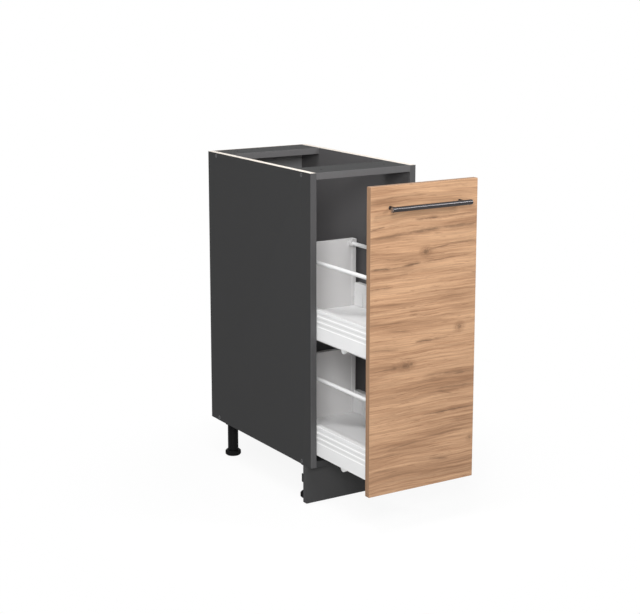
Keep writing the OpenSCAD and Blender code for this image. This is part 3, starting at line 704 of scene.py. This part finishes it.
# A darker copy of the white nylon: painted shade on the rail holders.
SHADED_NYLON = MouldedPlastic("nylon_painted_shade", (0.56, 0.555, 0.555))
BLACK_PLASTIC = MouldedPlastic(
    "black_moulded_plastic", (0.007, 0.007, 0.0074), 0.5, 0.05,
    grain=(1600.0, 2.0, 0.55), depth=0.00003,
)
GUNMETAL = BrushedMetal("brushed_gunmetal", (0.055, 0.052, 0.054), 0.30)
# A lighter copy of the gunmetal: painted highlight on the bar's end faces.
BAR_END_HIGHLIGHT = BrushedMetal(
    "bar_end_painted_highlight", (0.34, 0.33, 0.33), 0.34, grain=(900.0, 3.0, 0.65)
)
ZINC = PlatedSteel("zinc_plated_steel", (0.56, 0.565, 0.57))
BLACK_STEEL = PlatedSteel("blackened_steel", (0.080, 0.080, 0.083), 0.4, metallic=0.6)
RAW_CHIPBOARD = Chipboard("raw_chipboard")
BARE_HARDBOARD = Hardboard("bare_hardboard")
BEECH = PlainWood("turned_beech")
OAK_EDGE = OakBand("oak_edge_band", (0.300, 0.178, 0.105))

# Two ends, width and depth of each crack
OAK_CRACKS = (
    (-0.152, 0.721, -0.108, 0.726, 0.0016, 0.75),
    (-0.152, 0.698, -0.030, 0.705, 0.0042, 0.42),
    (-0.060, 0.704, 0.061, 0.714, 0.0050, 0.62),
    (0.030, 0.713, 0.152, 0.713, 0.0040, 0.56),
    (-0.030, 0.734, 0.054, 0.737, 0.0020, 0.72),
    (0.030, 0.737, 0.152, 0.741, 0.0014, 0.52),
    (0.055, 0.674, 0.152, 0.673, 0.0030, 0.38),
    (0.004, 0.662, 0.078, 0.673, 0.0020, 0.60),
    (-0.152, 0.630, -0.087, 0.630, 0.0021, 0.88),
    (-0.099, 0.630, -0.040, 0.632, 0.0013, 0.60),
    (-0.062, 0.632, -0.008, 0.636, 0.0023, 0.90),
    (-0.014, 0.635, 0.140, 0.645, 0.0013, 0.58),
    (-0.152, 0.586, -0.084, 0.587, 0.0014, 0.66),
    (-0.070, 0.612, -0.044, 0.614, 0.0015, 0.36),
    (-0.043, 0.527, -0.011, 0.524, 0.0015, 0.36),
    (-0.152, 0.789, 0.009, 0.791, 0.0016, 0.34),
    (-0.025, 0.453, 0.035, 0.452, 0.0018, 0.84),
    (0.021, 0.452, 0.073, 0.456, 0.0013, 0.50),
    (-0.099, 0.486, -0.037, 0.478, 0.0016, 0.30),
    (-0.152, 0.444, -0.067, 0.440, 0.0016, 0.38),
    (-0.116, 0.395, -0.029, 0.401, 0.0016, 0.60),
    (-0.005, 0.366, 0.152, 0.365, 0.0034, 0.42),
    (0.087, 0.361, 0.125, 0.362, 0.0018, 0.72),
    (0.035, 0.332, 0.152, 0.332, 0.0024, 0.46),
    (0.041, 0.326, 0.087, 0.315, 0.0018, 0.42),
    (-0.002, 0.275, 0.152, 0.277, 0.0019, 0.78),
    (0.002, 0.224, 0.152, 0.223, 0.0020, 0.36),
    (-0.100, 0.205, -0.016, 0.215, 0.0018, 0.44),
    (0.018, 0.167, 0.078, 0.162, 0.0032, 0.46),
    (-0.143, 0.158, -0.074, 0.161, 0.0016, 0.34),
)

# Centre, half sizes and depth of each knot
OAK_KNOTS = (
    (0.004, 0.660, 0.0055, 0.0042, 0.85),
    (0.102, 0.476, 0.0050, 0.0042, 0.70),
    (-0.048, 0.400, 0.0085, 0.0050, 0.75),
    (-0.080, 0.398, 0.0045, 0.0028, 0.45),
    (-0.033, 0.402, 0.0040, 0.0028, 0.50),
    (0.138, 0.199, 0.0036, 0.0026, 0.60),
)

OAK = OakDecor(
    "oak_decor",
    cracks=tuple(Crack(*row) for row in OAK_CRACKS),
    knots=tuple(Knot(*row) for row in OAK_KNOTS),
)


# Shapes

COPY_MERGE = 2e-6           # points of a CAD copy that are closer than this are one
TURNED_MERGE = 1e-6         # the same for the points of a turned body
FLAT = math.radians(0.3)    # faces at less than this are one face
BEND = math.radians(8.0)    # a sheet's faces at more than this meet in a bend
SQUARE = 80.0               # edges of boards at more than this, in degrees, are eased
FACING = 0.5                # the least share of an axis in the normal of a face along it
FLAT_ON = 0.8               # the same where the faces of a rounding are left out
CUT_MERGE = 1e-7            # points closer than this to a cut lie on it
ROUND_MIDDLE = 0.3          # how far in the middle of a rounding lies, 1 being its radius


def round_edges(
    bm: bmesh.types.BMesh, edges: list[bmesh.types.BMEdge], rounding: float, segments: int
) -> None:
    """Rounds some edges.

    Args:
        bm: The mesh.
        edges: The edges.
        rounding: How far back they are rounded.
        segments: How many steps the rounding has.
    """
    bmesh.ops.bevel(
        bm, geom=edges, offset=rounding, offset_type="OFFSET", segments=segments, profile=0.5,
        affect="EDGES", clamp_overlap=True, material=-1,
    )


def both_ends(end: Sequence[Span], length: float) -> list[Span]:
    """An outline from one end, as far as its mirror image at the other end."""
    return [*end, *((length - along, out) for along, out in reversed(end))]


class Shape:
    """A mesh in the making, held in one bmesh."""

    def __init__(
        self, node: Optional[str] = None, rounding: float = 0.0, angle: float = 50.0,
        shortest: float = 0.0, segments: int = 2,
    ) -> None:
        """Starts empty, or with a copy of a CAD node that has its outward edges rounded.

        Args:
            node: The CAD node, whose loose triangles are joined into whole faces.
            rounding: How far back the edges are rounded, 0 for not at all.
            angle: The least angle between a rounded edge's faces, in degrees.
            shortest: Edges under this length are left as they are.
            segments: How many steps the rounding has.
        """
        self.bm = bmesh.new()
        if node:
            self.bm.from_mesh(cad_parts[node].data)
            bmesh.ops.remove_doubles(self.bm, verts=self.bm.verts, dist=COPY_MERGE)
            bmesh.ops.dissolve_limit(
                self.bm, angle_limit=FLAT, verts=self.bm.verts, edges=self.bm.edges
            )
        if rounding:
            sharp = [
                edge for edge in self.bm.edges
                if edge.is_manifold and edge.is_convex and edge.calc_length() >= shortest
                and edge.calc_face_angle(0.0) > math.radians(angle)
            ]
            round_edges(self.bm, sharp, rounding, segments)

    def turn(
        self, outline: Sequence[Span], centre: Point, axis: Point, steps: int = 48
    ) -> None:
        """Adds a body of revolution.

        Args:
            outline: Places along the axis, each with its radius, from one end to the other.
            centre: The point on the axis where the outline's places start.
            axis: The direction of the axis.
            steps: How many faces go round it.
        """
        turn = Vector((0.0, 0.0, 1.0)).rotation_difference(Vector(axis)).to_matrix().to_4x4()
        place = Matrix.Translation(Vector(centre)) @ turn
        points = [
            self.bm.verts.new(place @ Vector((radius, 0.0, along))) for along, radius in outline
        ]
        edges = [self.bm.edges.new(pair) for pair in zip(points, points[1:])]
        bmesh.ops.spin(
            self.bm, geom=[*points, *edges], cent=centre, axis=axis, dvec=(0.0, 0.0, 0.0),
            angle=2 * math.pi, steps=steps, use_merge=True, use_duplicate=False,
        )
        bmesh.ops.remove_doubles(self.bm, verts=self.bm.verts, dist=TURNED_MERGE)
        bmesh.ops.recalc_face_normals(self.bm, faces=self.bm.faces)

    def roll(
        self, section: Sequence[Span], ends: Span, thickness: float, bend: float,
        segments: int = 3,
    ) -> None:
        """Adds a section of rolled sheet that runs along Y.

        Args:
            section: The points of the sheet's middle line, in X and Z.
            ends: Where the section starts and ends on Y.
            thickness: The sheet's thickness.
            bend: How far back each bend is rounded.
            segments: How many steps each bend has.
        """
        sheet = bmesh.new()
        points = [sheet.verts.new((x, ends[0], z)) for x, z in section]
        edges = [sheet.edges.new(pair) for pair in zip(points, points[1:])]
        made = bmesh.ops.extrude_edge_only(sheet, edges=edges)["geom"]
        far = [part for part in made if isinstance(part, bmesh.types.BMVert)]
        bmesh.ops.translate(sheet, vec=(0.0, ends[1] - ends[0], 0.0), verts=far)
        bends = [
            edge for edge in sheet.edges
            if len(edge.link_faces) == 2 and edge.calc_face_angle(0.0) > BEND
        ]
        round_edges(sheet, bends, bend, segments)
        bmesh.ops.recalc_face_normals(sheet, faces=sheet.faces)
        sheet.normal_update()
        for vert in sheet.verts:
            vert.co -= vert.normal * vert.calc_shell_factor() * thickness / 2
        bmesh.ops.solidify(sheet, geom=list(sheet.faces), thickness=-thickness)
        bmesh.ops.recalc_face_normals(sheet, faces=sheet.faces)
        mesh = bpy.data.meshes.new("sheet")
        sheet.to_mesh(mesh)
        sheet.free()
        self.bm.from_mesh(mesh)
        bpy.data.meshes.remove(mesh)

    def mirror(self) -> None:
        """Adds the mirror image across the plane X = 0."""
        geometry = [*self.bm.verts, *self.bm.edges, *self.bm.faces]
        copied = bmesh.ops.duplicate(self.bm, geom=geometry)["geom"]
        points = [part for part in copied if isinstance(part, bmesh.types.BMVert)]
        faces = [part for part in copied if isinstance(part, bmesh.types.BMFace)]
        bmesh.ops.scale(self.bm, vec=(-1.0, 1.0, 1.0), verts=points)
        bmesh.ops.reverse_faces(self.bm, faces=faces)

    def paint(self, *tests: FaceTest) -> None:
        """Numbers each face's finish: that of the first test it passes, or else 0.

        Args:
            *tests: Tests of a face's middle and normal, the first of them for finish 1.
        """
        self.bm.normal_update()
        for face in self.bm.faces:
            at, facing = face.calc_center_median(), face.normal
            passed = (number for number, test in enumerate(tests, 1) if test(at, facing))
            face.material_index = next(passed, 0)

    def dress(
        self, node: str, body: str, slot: Slot, *finishes: Finish, smooth_under: float = 35.0
    ) -> None:
        """Turns the shape into a piece of the scene that stands for a CAD node.

        Args:
            node: The CAD node that it replaces.
            body: The body of the frame that it rides on.
            slot: The record's slot for it; not used.
            *finishes: Its finishes, in the order of their numbers.
            smooth_under: Edges under this angle are shaded smooth, in degrees.
        """
        name = f"{node}_dressed"
        mesh = bpy.data.meshes.new(name)
        self.bm.to_mesh(mesh)
        self.bm.free()
        mesh.shade_smooth()
        mesh.set_sharp_from_angle(angle=math.radians(smooth_under))
        for finish in finishes:
            mesh.materials.append(finish.material())
        piece = bpy.data.objects.new(name, mesh)
        bpy.context.scene.collection.objects.link(piece)
        weighted = piece.modifiers.new("face_weights", "WEIGHTED_NORMAL")
        weighted.keep_sharp = True
        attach(piece, body)
        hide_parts(node)
        LOG.info("%s: %d faces on %s", name, len(mesh.polygons), body)


def dress(node: str, body: str, slot: Slot, finish: Finish, rounding: float = 0.0002) -> None:
    """Replaces a small CAD node by a copy of one finish, with its edges rounded this far back."""
    Shape(node, rounding).dress(node, body, slot, finish)


# Sub-assemblies


@dataclass
class Carcass:
    """The dark box: sides, bottom, two top rails and the back, with what joins them."""

    band: float = 0.001
    edge: float = 0.0004
    shortest_edge: float = 0.05
    raw_depth: float = 0.0009
    dowel_edge: float = 0.0005
    nail_edge: float = 0.0001
    body: str = Body.CARCASS.value

    def build(self) -> None:
        """Builds all of the carcass."""
        for side in Side:
            self.side_panel(side)
        # the bottom's front band is painted shade
        self.cross_board("bottom_panel", SHADED_BAND)
        # the rails' front bands are painted highlight
        self.cross_board("front_top_rail", HIGHLIT_RAIL_BAND)
        self.cross_board("rear_top_rail", HIGHLIT_RAIL_BAND)
        self.back()
        dress("carcass_screws", self.body, Slot.ZINC, BLACK_STEEL)
        dress("carcass_dowels", self.body, Slot.BEECH, BEECH, self.dowel_edge)
        dress("back_panel_nails", self.body, Slot.ZINC, ZINC, self.nail_edge)

    def board(self, node: str) -> tuple[Shape, Vector, Vector]:
        """A copy of a board with its long edges eased and its band parted off by an edge.

        Args:
            node: The board's node.

        Returns:
            The shape, and the lowest and highest corners of its box.
        """
        low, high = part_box(node)
        shape = Shape(node, self.edge, SQUARE, self.shortest_edge)
        bm = shape.bm
        bmesh.ops.bisect_plane(
            bm, geom=[*bm.verts, *bm.edges, *bm.faces], dist=CUT_MERGE,
            plane_co=(0.0, low.y + self.band, 0.0), plane_no=(0.0, 1.0, 0.0),
        )
        return shape, low, high

    def side_panel(self, side: Side) -> None:
        """Builds one side panel, banded in front, raw on its other edges, and painted lighter
        inside as light.

        Args:
            side: Which side it is.
        """
        node = f"side_panel_{side.word}"
        shape, low, high = self.board(node)
        raw = self.raw_depth
        shape.paint(
            lambda at, facing: at.y < low.y + self.band,
            lambda at, facing: (abs(facing.z) > FACING or facing.y > FACING) and (
                at.z > high.z - raw or at.z < low.z + raw or at.y > high.y - raw
            ),
            # inner faces: painted light
            lambda at, facing: facing.x * side.value < -FACING,
        )
        finishes = (ANTHRACITE, ANTHRACITE_BAND, RAW_CHIPBOARD, LIT_INSIDE_ANTHRACITE)
        shape.dress(node, self.body, Slot.ANTHRACITE, *finishes)

    def cross_board(self, node: str, band: Finish) -> None:
        """Builds a board between the sides: banded in front, raw behind, and painted darker on
        top as shade.

        Args:
            node: The board's node.
            band: The finish of its band.
        """
        shape, low, high = self.board(node)
        shape.paint(
            lambda at, facing: at.y < low.y + self.band,
            lambda at, facing: facing.y > FACING and at.y > high.y - self.band,
            # top faces: painted shade
            lambda at, facing: facing.z > FACING,
        )
        finishes = (ANTHRACITE, band, RAW_CHIPBOARD, SHADED_TOP_ANTHRACITE)
        shape.dress(node, self.body, Slot.ANTHRACITE, *finishes)

    def back(self) -> None:
        """Builds the hardboard back, lacquered grey inside with painted light on it, and bare
        elsewhere.
        """
        shape = Shape("back_panel")
        shape.paint(lambda at, facing: facing.y >= -FACING)
        shape.dress("back_panel", self.body, Slot.HARDBOARD, LIT_GREY_LACQUER, BARE_HARDBOARD)


@dataclass
class Base:
    """What the cabinet stands on: plates, tubes and feet, and the plinth on its clips."""

    plinth_edge: float = 0.0004
    plinth_band: float = 0.001
    shortest_edge: float = 0.012
    plastic_edge: float = 0.0005
    body: str = Body.CARCASS.value

    def build(self) -> None:
        """Builds the legs and the plinth."""
        plastic = (Slot.BLACK_PLASTIC, BLACK_PLASTIC, self.plastic_edge)
        for node in ("leg_plates", "leg_tubes", "plinth_clips"):
            dress(node, self.body, *plastic)
        for node in ("leg_plate_screws", "plinth_clip_screws"):
            dress(node, self.body, Slot.ZINC, ZINC)
        for end in ("front", "rear"):
            for side in Side:
                foot = f"foot_{end}_{side.word}"
                dress(foot, foot, *plastic)
        self.plinth()

    def plinth(self) -> None:
        """Builds the plinth board, painted lighter as light, with bands painted darker as shade
        on its two ends.
        """
        node = "plinth_board"
        band_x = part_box(node)[1].x - self.plinth_band
        shape = Shape(node, self.plinth_edge, SQUARE, self.shortest_edge)
        shape.paint(lambda at, facing: abs(at.x) > band_x and abs(facing.x) > FACING)
        # the faces are painted light and the end bands painted shade
        shape.dress(node, self.body, Slot.ANTHRACITE, LIT_PLINTH_ANTHRACITE, SHADED_BAND)


@dataclass
class Runners:
    """Full-extension roller runners: three members a side and level, with their rollers."""

    sheet_edge: float = 0.0003
    cap_edge: float = 0.0003
    screw_edge: float = 0.0
    stud_radius: float = 0.0025
    play: float = 0.00006
    hub_wall: float = 0.0014
    roller_round: float = 0.0008
    dish_depth: float = 0.0004
    dish_slope: float = 0.0004
    rim_width: float = 0.0018

    def build(self) -> None:
        """Builds the members, the rollers and the screws."""
        carcass, middle, drawer = Body.CARCASS.value, Body.MIDDLE.value, Body.PULL_OUT.value
        steel = (Slot.WHITE_STEEL, WHITE_COAT, self.sheet_edge)
        dress("runner_hangers", carcass, *steel)
        for level in Level:
            for side in Side:
                dress(f"fixed_runner_{level.word}_{side.word}", carcass, *steel)
                dress(f"middle_runner_{level.word}_{side.word}", middle, *steel)
        dress("drawer_runners", drawer, *steel)
        dress("middle_runner_caps", middle, Slot.WHITE_PLASTIC, WHITE_NYLON, self.cap_edge)
        dress("runner_screws", carcass, Slot.ZINC, ZINC, self.screw_edge)
        for level in Level:
            for kind in ("fixed", "middle_rear", "middle_front", "drawer"):
                self.rollers(f"{kind}_rollers_{level.word}")

    def rollers(self, node: str) -> None:
        """Turns the left and right rollers that one node holds, each with a dish in both faces.

        Args:
            node: The node of the two rollers.
        """
        low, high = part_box(node)
        inner = min(abs(vert.co.x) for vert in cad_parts[node].data.vertices)
        width = high.x - inner
        radius = (high.z - low.z) / 2
        centre = (inner, (low.y + high.y) / 2, (low.z + high.z) / 2)
        bore = self.stud_radius + self.play
        hub = bore + self.hub_wall
        rim = radius - self.rim_width
        back = self.roller_round
        near = back * ROUND_MIDDLE
        face = [
            (0.0, bore), (0.0, hub), (self.dish_depth, hub + self.dish_slope),
            (self.dish_depth, rim - self.dish_slope), (0.0, rim), (0.0, radius - back),
            (near, radius - near), (back, radius),
        ]
        shape = Shape()
        shape.turn([*both_ends(face, width), face[0]], centre, (1.0, 0.0, 0.0))
        shape.mirror()
        shape.dress(node, node, Slot.WHITE_PLASTIC, WHITE_NYLON)


@dataclass
class SteelDrawer:
    """One drawer: rolled steel sides, floor and back boards, and rails."""

    level: Level
    sheet: float = 0.0012
    height: float = 0.077
    floor_flange: float = 0.014
    inner_wall: float = 0.0141
    step_up: float = 0.0316
    lower_edge: float = 0.004
    groove_starts: tuple[float, ...] = (0.036, 0.049, 0.062)
    groove_height: float = 0.008
    groove_depth: float = 0.0009
    bend: float = 0.0009
    smooth_under: float = 50.0
    rail_edge: float = 0.0006
    floor_edge: float = 0.0003
    back_edge: float = 0.0004
    shortest_edge: float = 0.012
    body: str = Body.PULL_OUT.value

    def build(self) -> None:
        """Builds the drawer."""
        for side in Side:
            self.side(side)
            self.gallery_rail(side)
        self.floor()
        self.back()

    def side(self, side: Side) -> None:
        """Builds one hollow side: a grooved skin, a smooth inner wall and the runner's step.

        Args:
            side: Which side it is.
        """
        node = f"drawer_side_{self.level.word}_{side.word}"
        low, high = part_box(node)
        half = self.sheet / 2
        outer = side.value * max(abs(low.x), abs(high.x))
        inward = self.inner_wall + half
        deep = half + self.groove_depth
        step = [(half, self.step_up + half), (inward, self.step_up + half)]
        profile = [(half, self.lower_edge)]
        for start in self.groove_starts:
            end = start + self.groove_height
            profile += [
                (half, start), (deep, start + self.groove_depth),
                (deep, end - self.groove_depth), (half, end),
            ]
        profile += [
            (half, self.height - half), (inward, self.height - half), (inward, half),
            (inward - half + self.floor_flange, half),
        ]
        shape = Shape()
        for line in (profile, step):
            section = [(outer - side.value * across, low.z + up) for across, up in line]
            shape.roll(section, (low.y, high.y), self.sheet, self.bend)
        finish = (Slot.WHITE_STEEL, WHITE_COAT)
        shape.dress(node, self.body, *finish, smooth_under=self.smooth_under)

    def gallery_rail(self, side: Side) -> None:
        """Turns the round rail above one side.

        Args:
            side: Which side it is.
        """
        node = f"gallery_rail_{self.level.word}_{side.word}"
        low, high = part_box(node)
        radius = (high.x - low.x) / 2
        edge = self.rail_edge
        end = [(0.0, 0.0), (0.0, radius - edge), (edge, radius)]
        centre = ((low.x + high.x) / 2, low.y, (low.z + high.z) / 2)
        shape = Shape()
        shape.turn(both_ends(end, high.y - low.y), centre, (0.0, 1.0, 0.0))
        shape.dress(node, self.body, Slot.WHITE_STEEL, WHITE_COAT)

    def floor(self) -> None:
        """Builds the floor board, all in white melamine."""
        node = f"drawer_floor_{self.level.word}"
        shape = Shape(node, self.floor_edge, SQUARE, self.shortest_edge)
        shape.dress(node, self.body, Slot.WHITE_BOARD, WHITE_MELAMINE)

    def back(self) -> None:
        """Builds the tall back board, with a band on its top and ends, both painted darker as
        shade.
        """
        node = f"drawer_back_{self.level.word}"
        shape = Shape(node, self.back_edge, SQUARE, self.shortest_edge)
        shape.paint(lambda at, facing: facing.z > FACING or abs(facing.x) > FACING)
        shape.dress(node, self.body, Slot.WHITE_BOARD, SHADED_BACK_MELAMINE, SHADED_BACK_BAND)


@dataclass
class DrawerFittings:
    """The rail holders, the angles and the small screws of both drawers."""

    holder_edge: float = 0.0006
    bracket_edge: float = 0.0003
    body: str = Body.PULL_OUT.value

    def build(self) -> None:
        """Dresses the fittings."""
        # the rail holders get the darker nylon: painted shade
        dress("gallery_holders", self.body, Slot.WHITE_PLASTIC, SHADED_NYLON, self.holder_edge)
        dress("front_brackets", self.body, Slot.WHITE_STEEL, WHITE_COAT, self.bracket_edge)
        # the bracket screws get the darker coat: painted shade
        dress("bracket_screws", self.body, Slot.ZINC, SHADED_COAT)
        dress("floor_screws", self.body, Slot.ZINC, ZINC)
        self.back_brackets()

    def back_brackets(self) -> None:
        """Builds the angles behind: each leg has the colour of what it lies on, the one on the
        back board with that board's painted shade.
        """
        shape = Shape("back_brackets", self.bracket_edge)
        shape.paint(lambda at, facing: abs(facing.x) <= FACING)
        shape.dress("back_brackets", self.body, Slot.WHITE_STEEL, WHITE_COAT, SHADED_COAT)


@dataclass
class Front:
    """The oak front with its bar handle."""

    rounding: float = 0.0013
    round_steps: int = 4
    shortest_edge: float = 0.014
    band: float = 0.001
    bar_edge: float = 0.0008
    bar_turns: Point = (30.0, 60.0, 90.0)
    bar_steps: int = 64
    bar_end_facing: float = 0.9
    post_edge: float = 0.0004
    post_neck: float = 0.0006
    post_foot: float = 0.0012
    post_steps: int = 40
    body: str = Body.PULL_OUT.value

    def build(self) -> None:
        """Builds the front and its handle."""
        self.panel()
        self.bar()
        self.posts()
        dress("handle_screws", self.body, Slot.ZINC, ZINC)

    def panel(self) -> None:
        """Builds the front board, with rounded edges and a band on each of them."""
        node = "front_panel"
        low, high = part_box(node)
        shape = Shape(node, self.rounding, SQUARE, self.shortest_edge, self.round_steps)
        shape.paint(
            lambda at, facing: (abs(facing.x) > FLAT_ON and abs(at.x) > high.x - self.band) or (
                abs(facing.z) > FLAT_ON and not low.z + self.band <= at.z <= high.z - self.band
            )
        )
        shape.dress(node, self.body, Slot.OAK, OAK, OAK_EDGE)

    def bar(self) -> None:
        """Turns the handle's bar, with turned ends painted bright as a highlight."""
        node = "handle_bar"
        low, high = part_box(node)
        radius = (high.z - low.z) / 2
        edge = self.bar_edge
        end = [(0.0, 0.0), (0.0, radius - edge)]
        end += [
            (edge * (1 - math.cos(turn)), radius - edge * (1 - math.sin(turn)))
            for turn in map(math.radians, self.bar_turns)
        ]
        centre = (low.x, (low.y + high.y) / 2, (low.z + high.z) / 2)
        shape = Shape()
        shape.turn(both_ends(end, high.x - low.x), centre, (1.0, 0.0, 0.0), self.bar_steps)
        # end faces: painted highlight
        shape.paint(lambda at, facing: abs(facing.x) > self.bar_end_facing)
        shape.dress(node, self.body, Slot.DARK_METAL, GUNMETAL, BAR_END_HIGHLIGHT)

    def posts(self) -> None:
        """Turns the handle's two posts, each with a small foot on the front."""
        node = "handle_posts"
        low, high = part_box(node)
        radius = (high.z - low.z) / 2
        neck = radius - self.post_neck
        edge = self.post_edge
        outline = [
            (0.0, 0.0), (0.0, radius - edge), (edge, radius), (self.post_foot, radius),
            (self.post_foot + self.post_neck, neck), (high.y - low.y, neck),
        ]
        shape = Shape()
        for side in Side:
            centre = (side.value * (high.x - radius), high.y, (low.z + high.z) / 2)
            shape.turn(outline, centre, (0.0, -1.0, 0.0), self.post_steps)
        rims = [edge for edge in shape.bm.edges if edge.is_boundary]
        bmesh.ops.holes_fill(shape.bm, edges=rims, sides=0)
        bmesh.ops.recalc_face_normals(shape.bm, faces=shape.bm.faces)
        shape.dress(node, self.body, Slot.DARK_METAL, GUNMETAL)


# Stage, light and camera


@dataclass(frozen=True)
class Lamp:
    """A soft square lamp: where it stands, the point it looks at, its side and its watts."""

    name: str
    place: Point
    aim: Point
    size: float
    power: float

    def build(self) -> None:
        """Adds the lamp to the scene."""
        data = bpy.data.lights.new(self.name, "AREA")
        data.shape = "SQUARE"
        data.size = self.size
        data.energy = self.power
        lamp = bpy.data.objects.new(self.name, data)
        lamp.location = self.place
        towards = Vector(self.aim) - Vector(self.place)
        lamp.rotation_euler = towards.to_track_quat("-Z", "Y").to_euler()
        bpy.context.scene.collection.objects.link(lamp)


@dataclass
class Studio:
    """A white floor, soft lamps and the camera."""

    floor_half: float = 90.0
    floor_paint: Span = (0.5, 0.95)     # grey as a light source, pale to the camera
    floor_glow: float = 0.91
    shadow_reach: Span = (0.30, 0.80)
    world_light: float = 0.05
    camera_place: Point = (-1.9649, -3.0607, 1.2946)
    camera_tilt: float = 79.05
    camera_turn: float = -31.99
    focal_px: float = 1498.1
    frame_px: float = 640.0
    sensor: float = 36.0
    shift_y: float = -0.08
    clip_end: float = 300.0
    lamps: tuple[Lamp, ...] = (
        Lamp("key_softbox", (-2.05, -3.05, 1.95), (0.05, -0.1, 0.42), 1.0, 90.0),
        Lamp("low_softbox", (-2.15, -3.25, 0.95), (0.05, -0.1, 0.42), 1.0, 33.0),
        Lamp("right_softbox", (2.10, -2.60, 2.50), (0.0, -0.2, 0.5), 0.8, 68.0),
        Lamp("left_softbox", (-2.60, 0.30, 2.90), (0.0, 0.1, 0.5), 1.2, 6.0),
        Lamp("top_softbox", (-1.00, -0.70, 3.10), (0.0, 0.0, 0.4), 1.6, 62.0),
    )

    def build(self) -> None:
        """Builds the floor, the light and the camera."""
        self.floor()
        self.world()
        for lamp in self.lamps:
            lamp.build()
        self.camera()

    def floor(self) -> None:
        """Builds the floor, which the object's shadow darkens and which is white further off."""
        bm = bmesh.new()
        bmesh.ops.create_grid(bm, x_segments=1, y_segments=1, size=self.floor_half)
        mesh = bpy.data.meshes.new("studio_floor")
        bm.to_mesh(mesh)
        bm.free()
        floor = bpy.data.objects.new("studio_floor", mesh)
        bpy.context.scene.collection.objects.link(floor)
        material = bpy.data.materials.new("studio_floor_paint")
        tree = Recipe(material)
        ray = tree.add("ShaderNodeLightPath", {}).outputs
        tone = tree.spread(ray["Is Camera Ray"], UNIT, self.floor_paint)
        away = tree.add("ShaderNodeVectorMath", {0: tree.place}, operation="LENGTH")
        reach = (self.floor_glow, 1.0)
        share = tree.times(
            tree.most(ray["Is Camera Ray"], ray["Is Glossy Ray"]),
            tree.spread(away.outputs["Value"], self.shadow_reach, reach, SMOOTH),
        )
        paint = tree.add("ShaderNodeBsdfDiffuse", {"Color": tone})
        glow = tree.add("ShaderNodeEmission", {"Color": WHITE, "Strength": 1.0})
        tree.end_mixed(share, paint, glow)
        mesh.materials.append(material)

    def world(self) -> None:
        """Sets the world: white where it is seen or mirrored, and almost no light."""
        world = bpy.data.worlds.new("studio_world")
        bpy.context.scene.world = world
        tree = Recipe(world)
        ray = tree.add("ShaderNodeLightPath", {}).outputs
        share = tree.most(
            ray["Is Camera Ray"], ray["Is Transmission Ray"], ray["Is Glossy Ray"]
        )
        light, seen = (
            tree.add("ShaderNodeBackground", {"Color": WHITE, "Strength": strength})
            for strength in (self.world_light, 1.0)
        )
        tree.end_mixed(share, light, seen)

    def camera(self) -> None:
        """Adds the camera that was fitted to the photograph's edges."""
        scene = bpy.context.scene
        data = bpy.data.cameras.new("camera")
        data.sensor_fit = "HORIZONTAL"
        data.sensor_width = self.sensor
        data.lens = self.focal_px / self.frame_px * self.sensor
        data.shift_y = self.shift_y
        data.clip_end = self.clip_end
        camera = bpy.data.objects.new("camera", data)
        tilt, turn = math.radians(self.camera_tilt), math.radians(self.camera_turn)
        camera.rotation_euler = (tilt, 0.0, turn)
        camera.location = self.camera_place
        scene.collection.objects.link(camera)
        scene.camera = camera
        scene.view_settings.view_transform = "Standard"


def main() -> None:
    """Builds the studio and every sub-assembly in order."""
    logging.basicConfig(level=logging.INFO, format="%(name)s: %(message)s")
    Studio().build()
    Carcass().build()
    Base().build()
    Runners().build()
    for level in Level:
        SteelDrawer(level).build()
    DrawerFittings().build()
    Front().build()


if __name__ == "__main__":
    main()
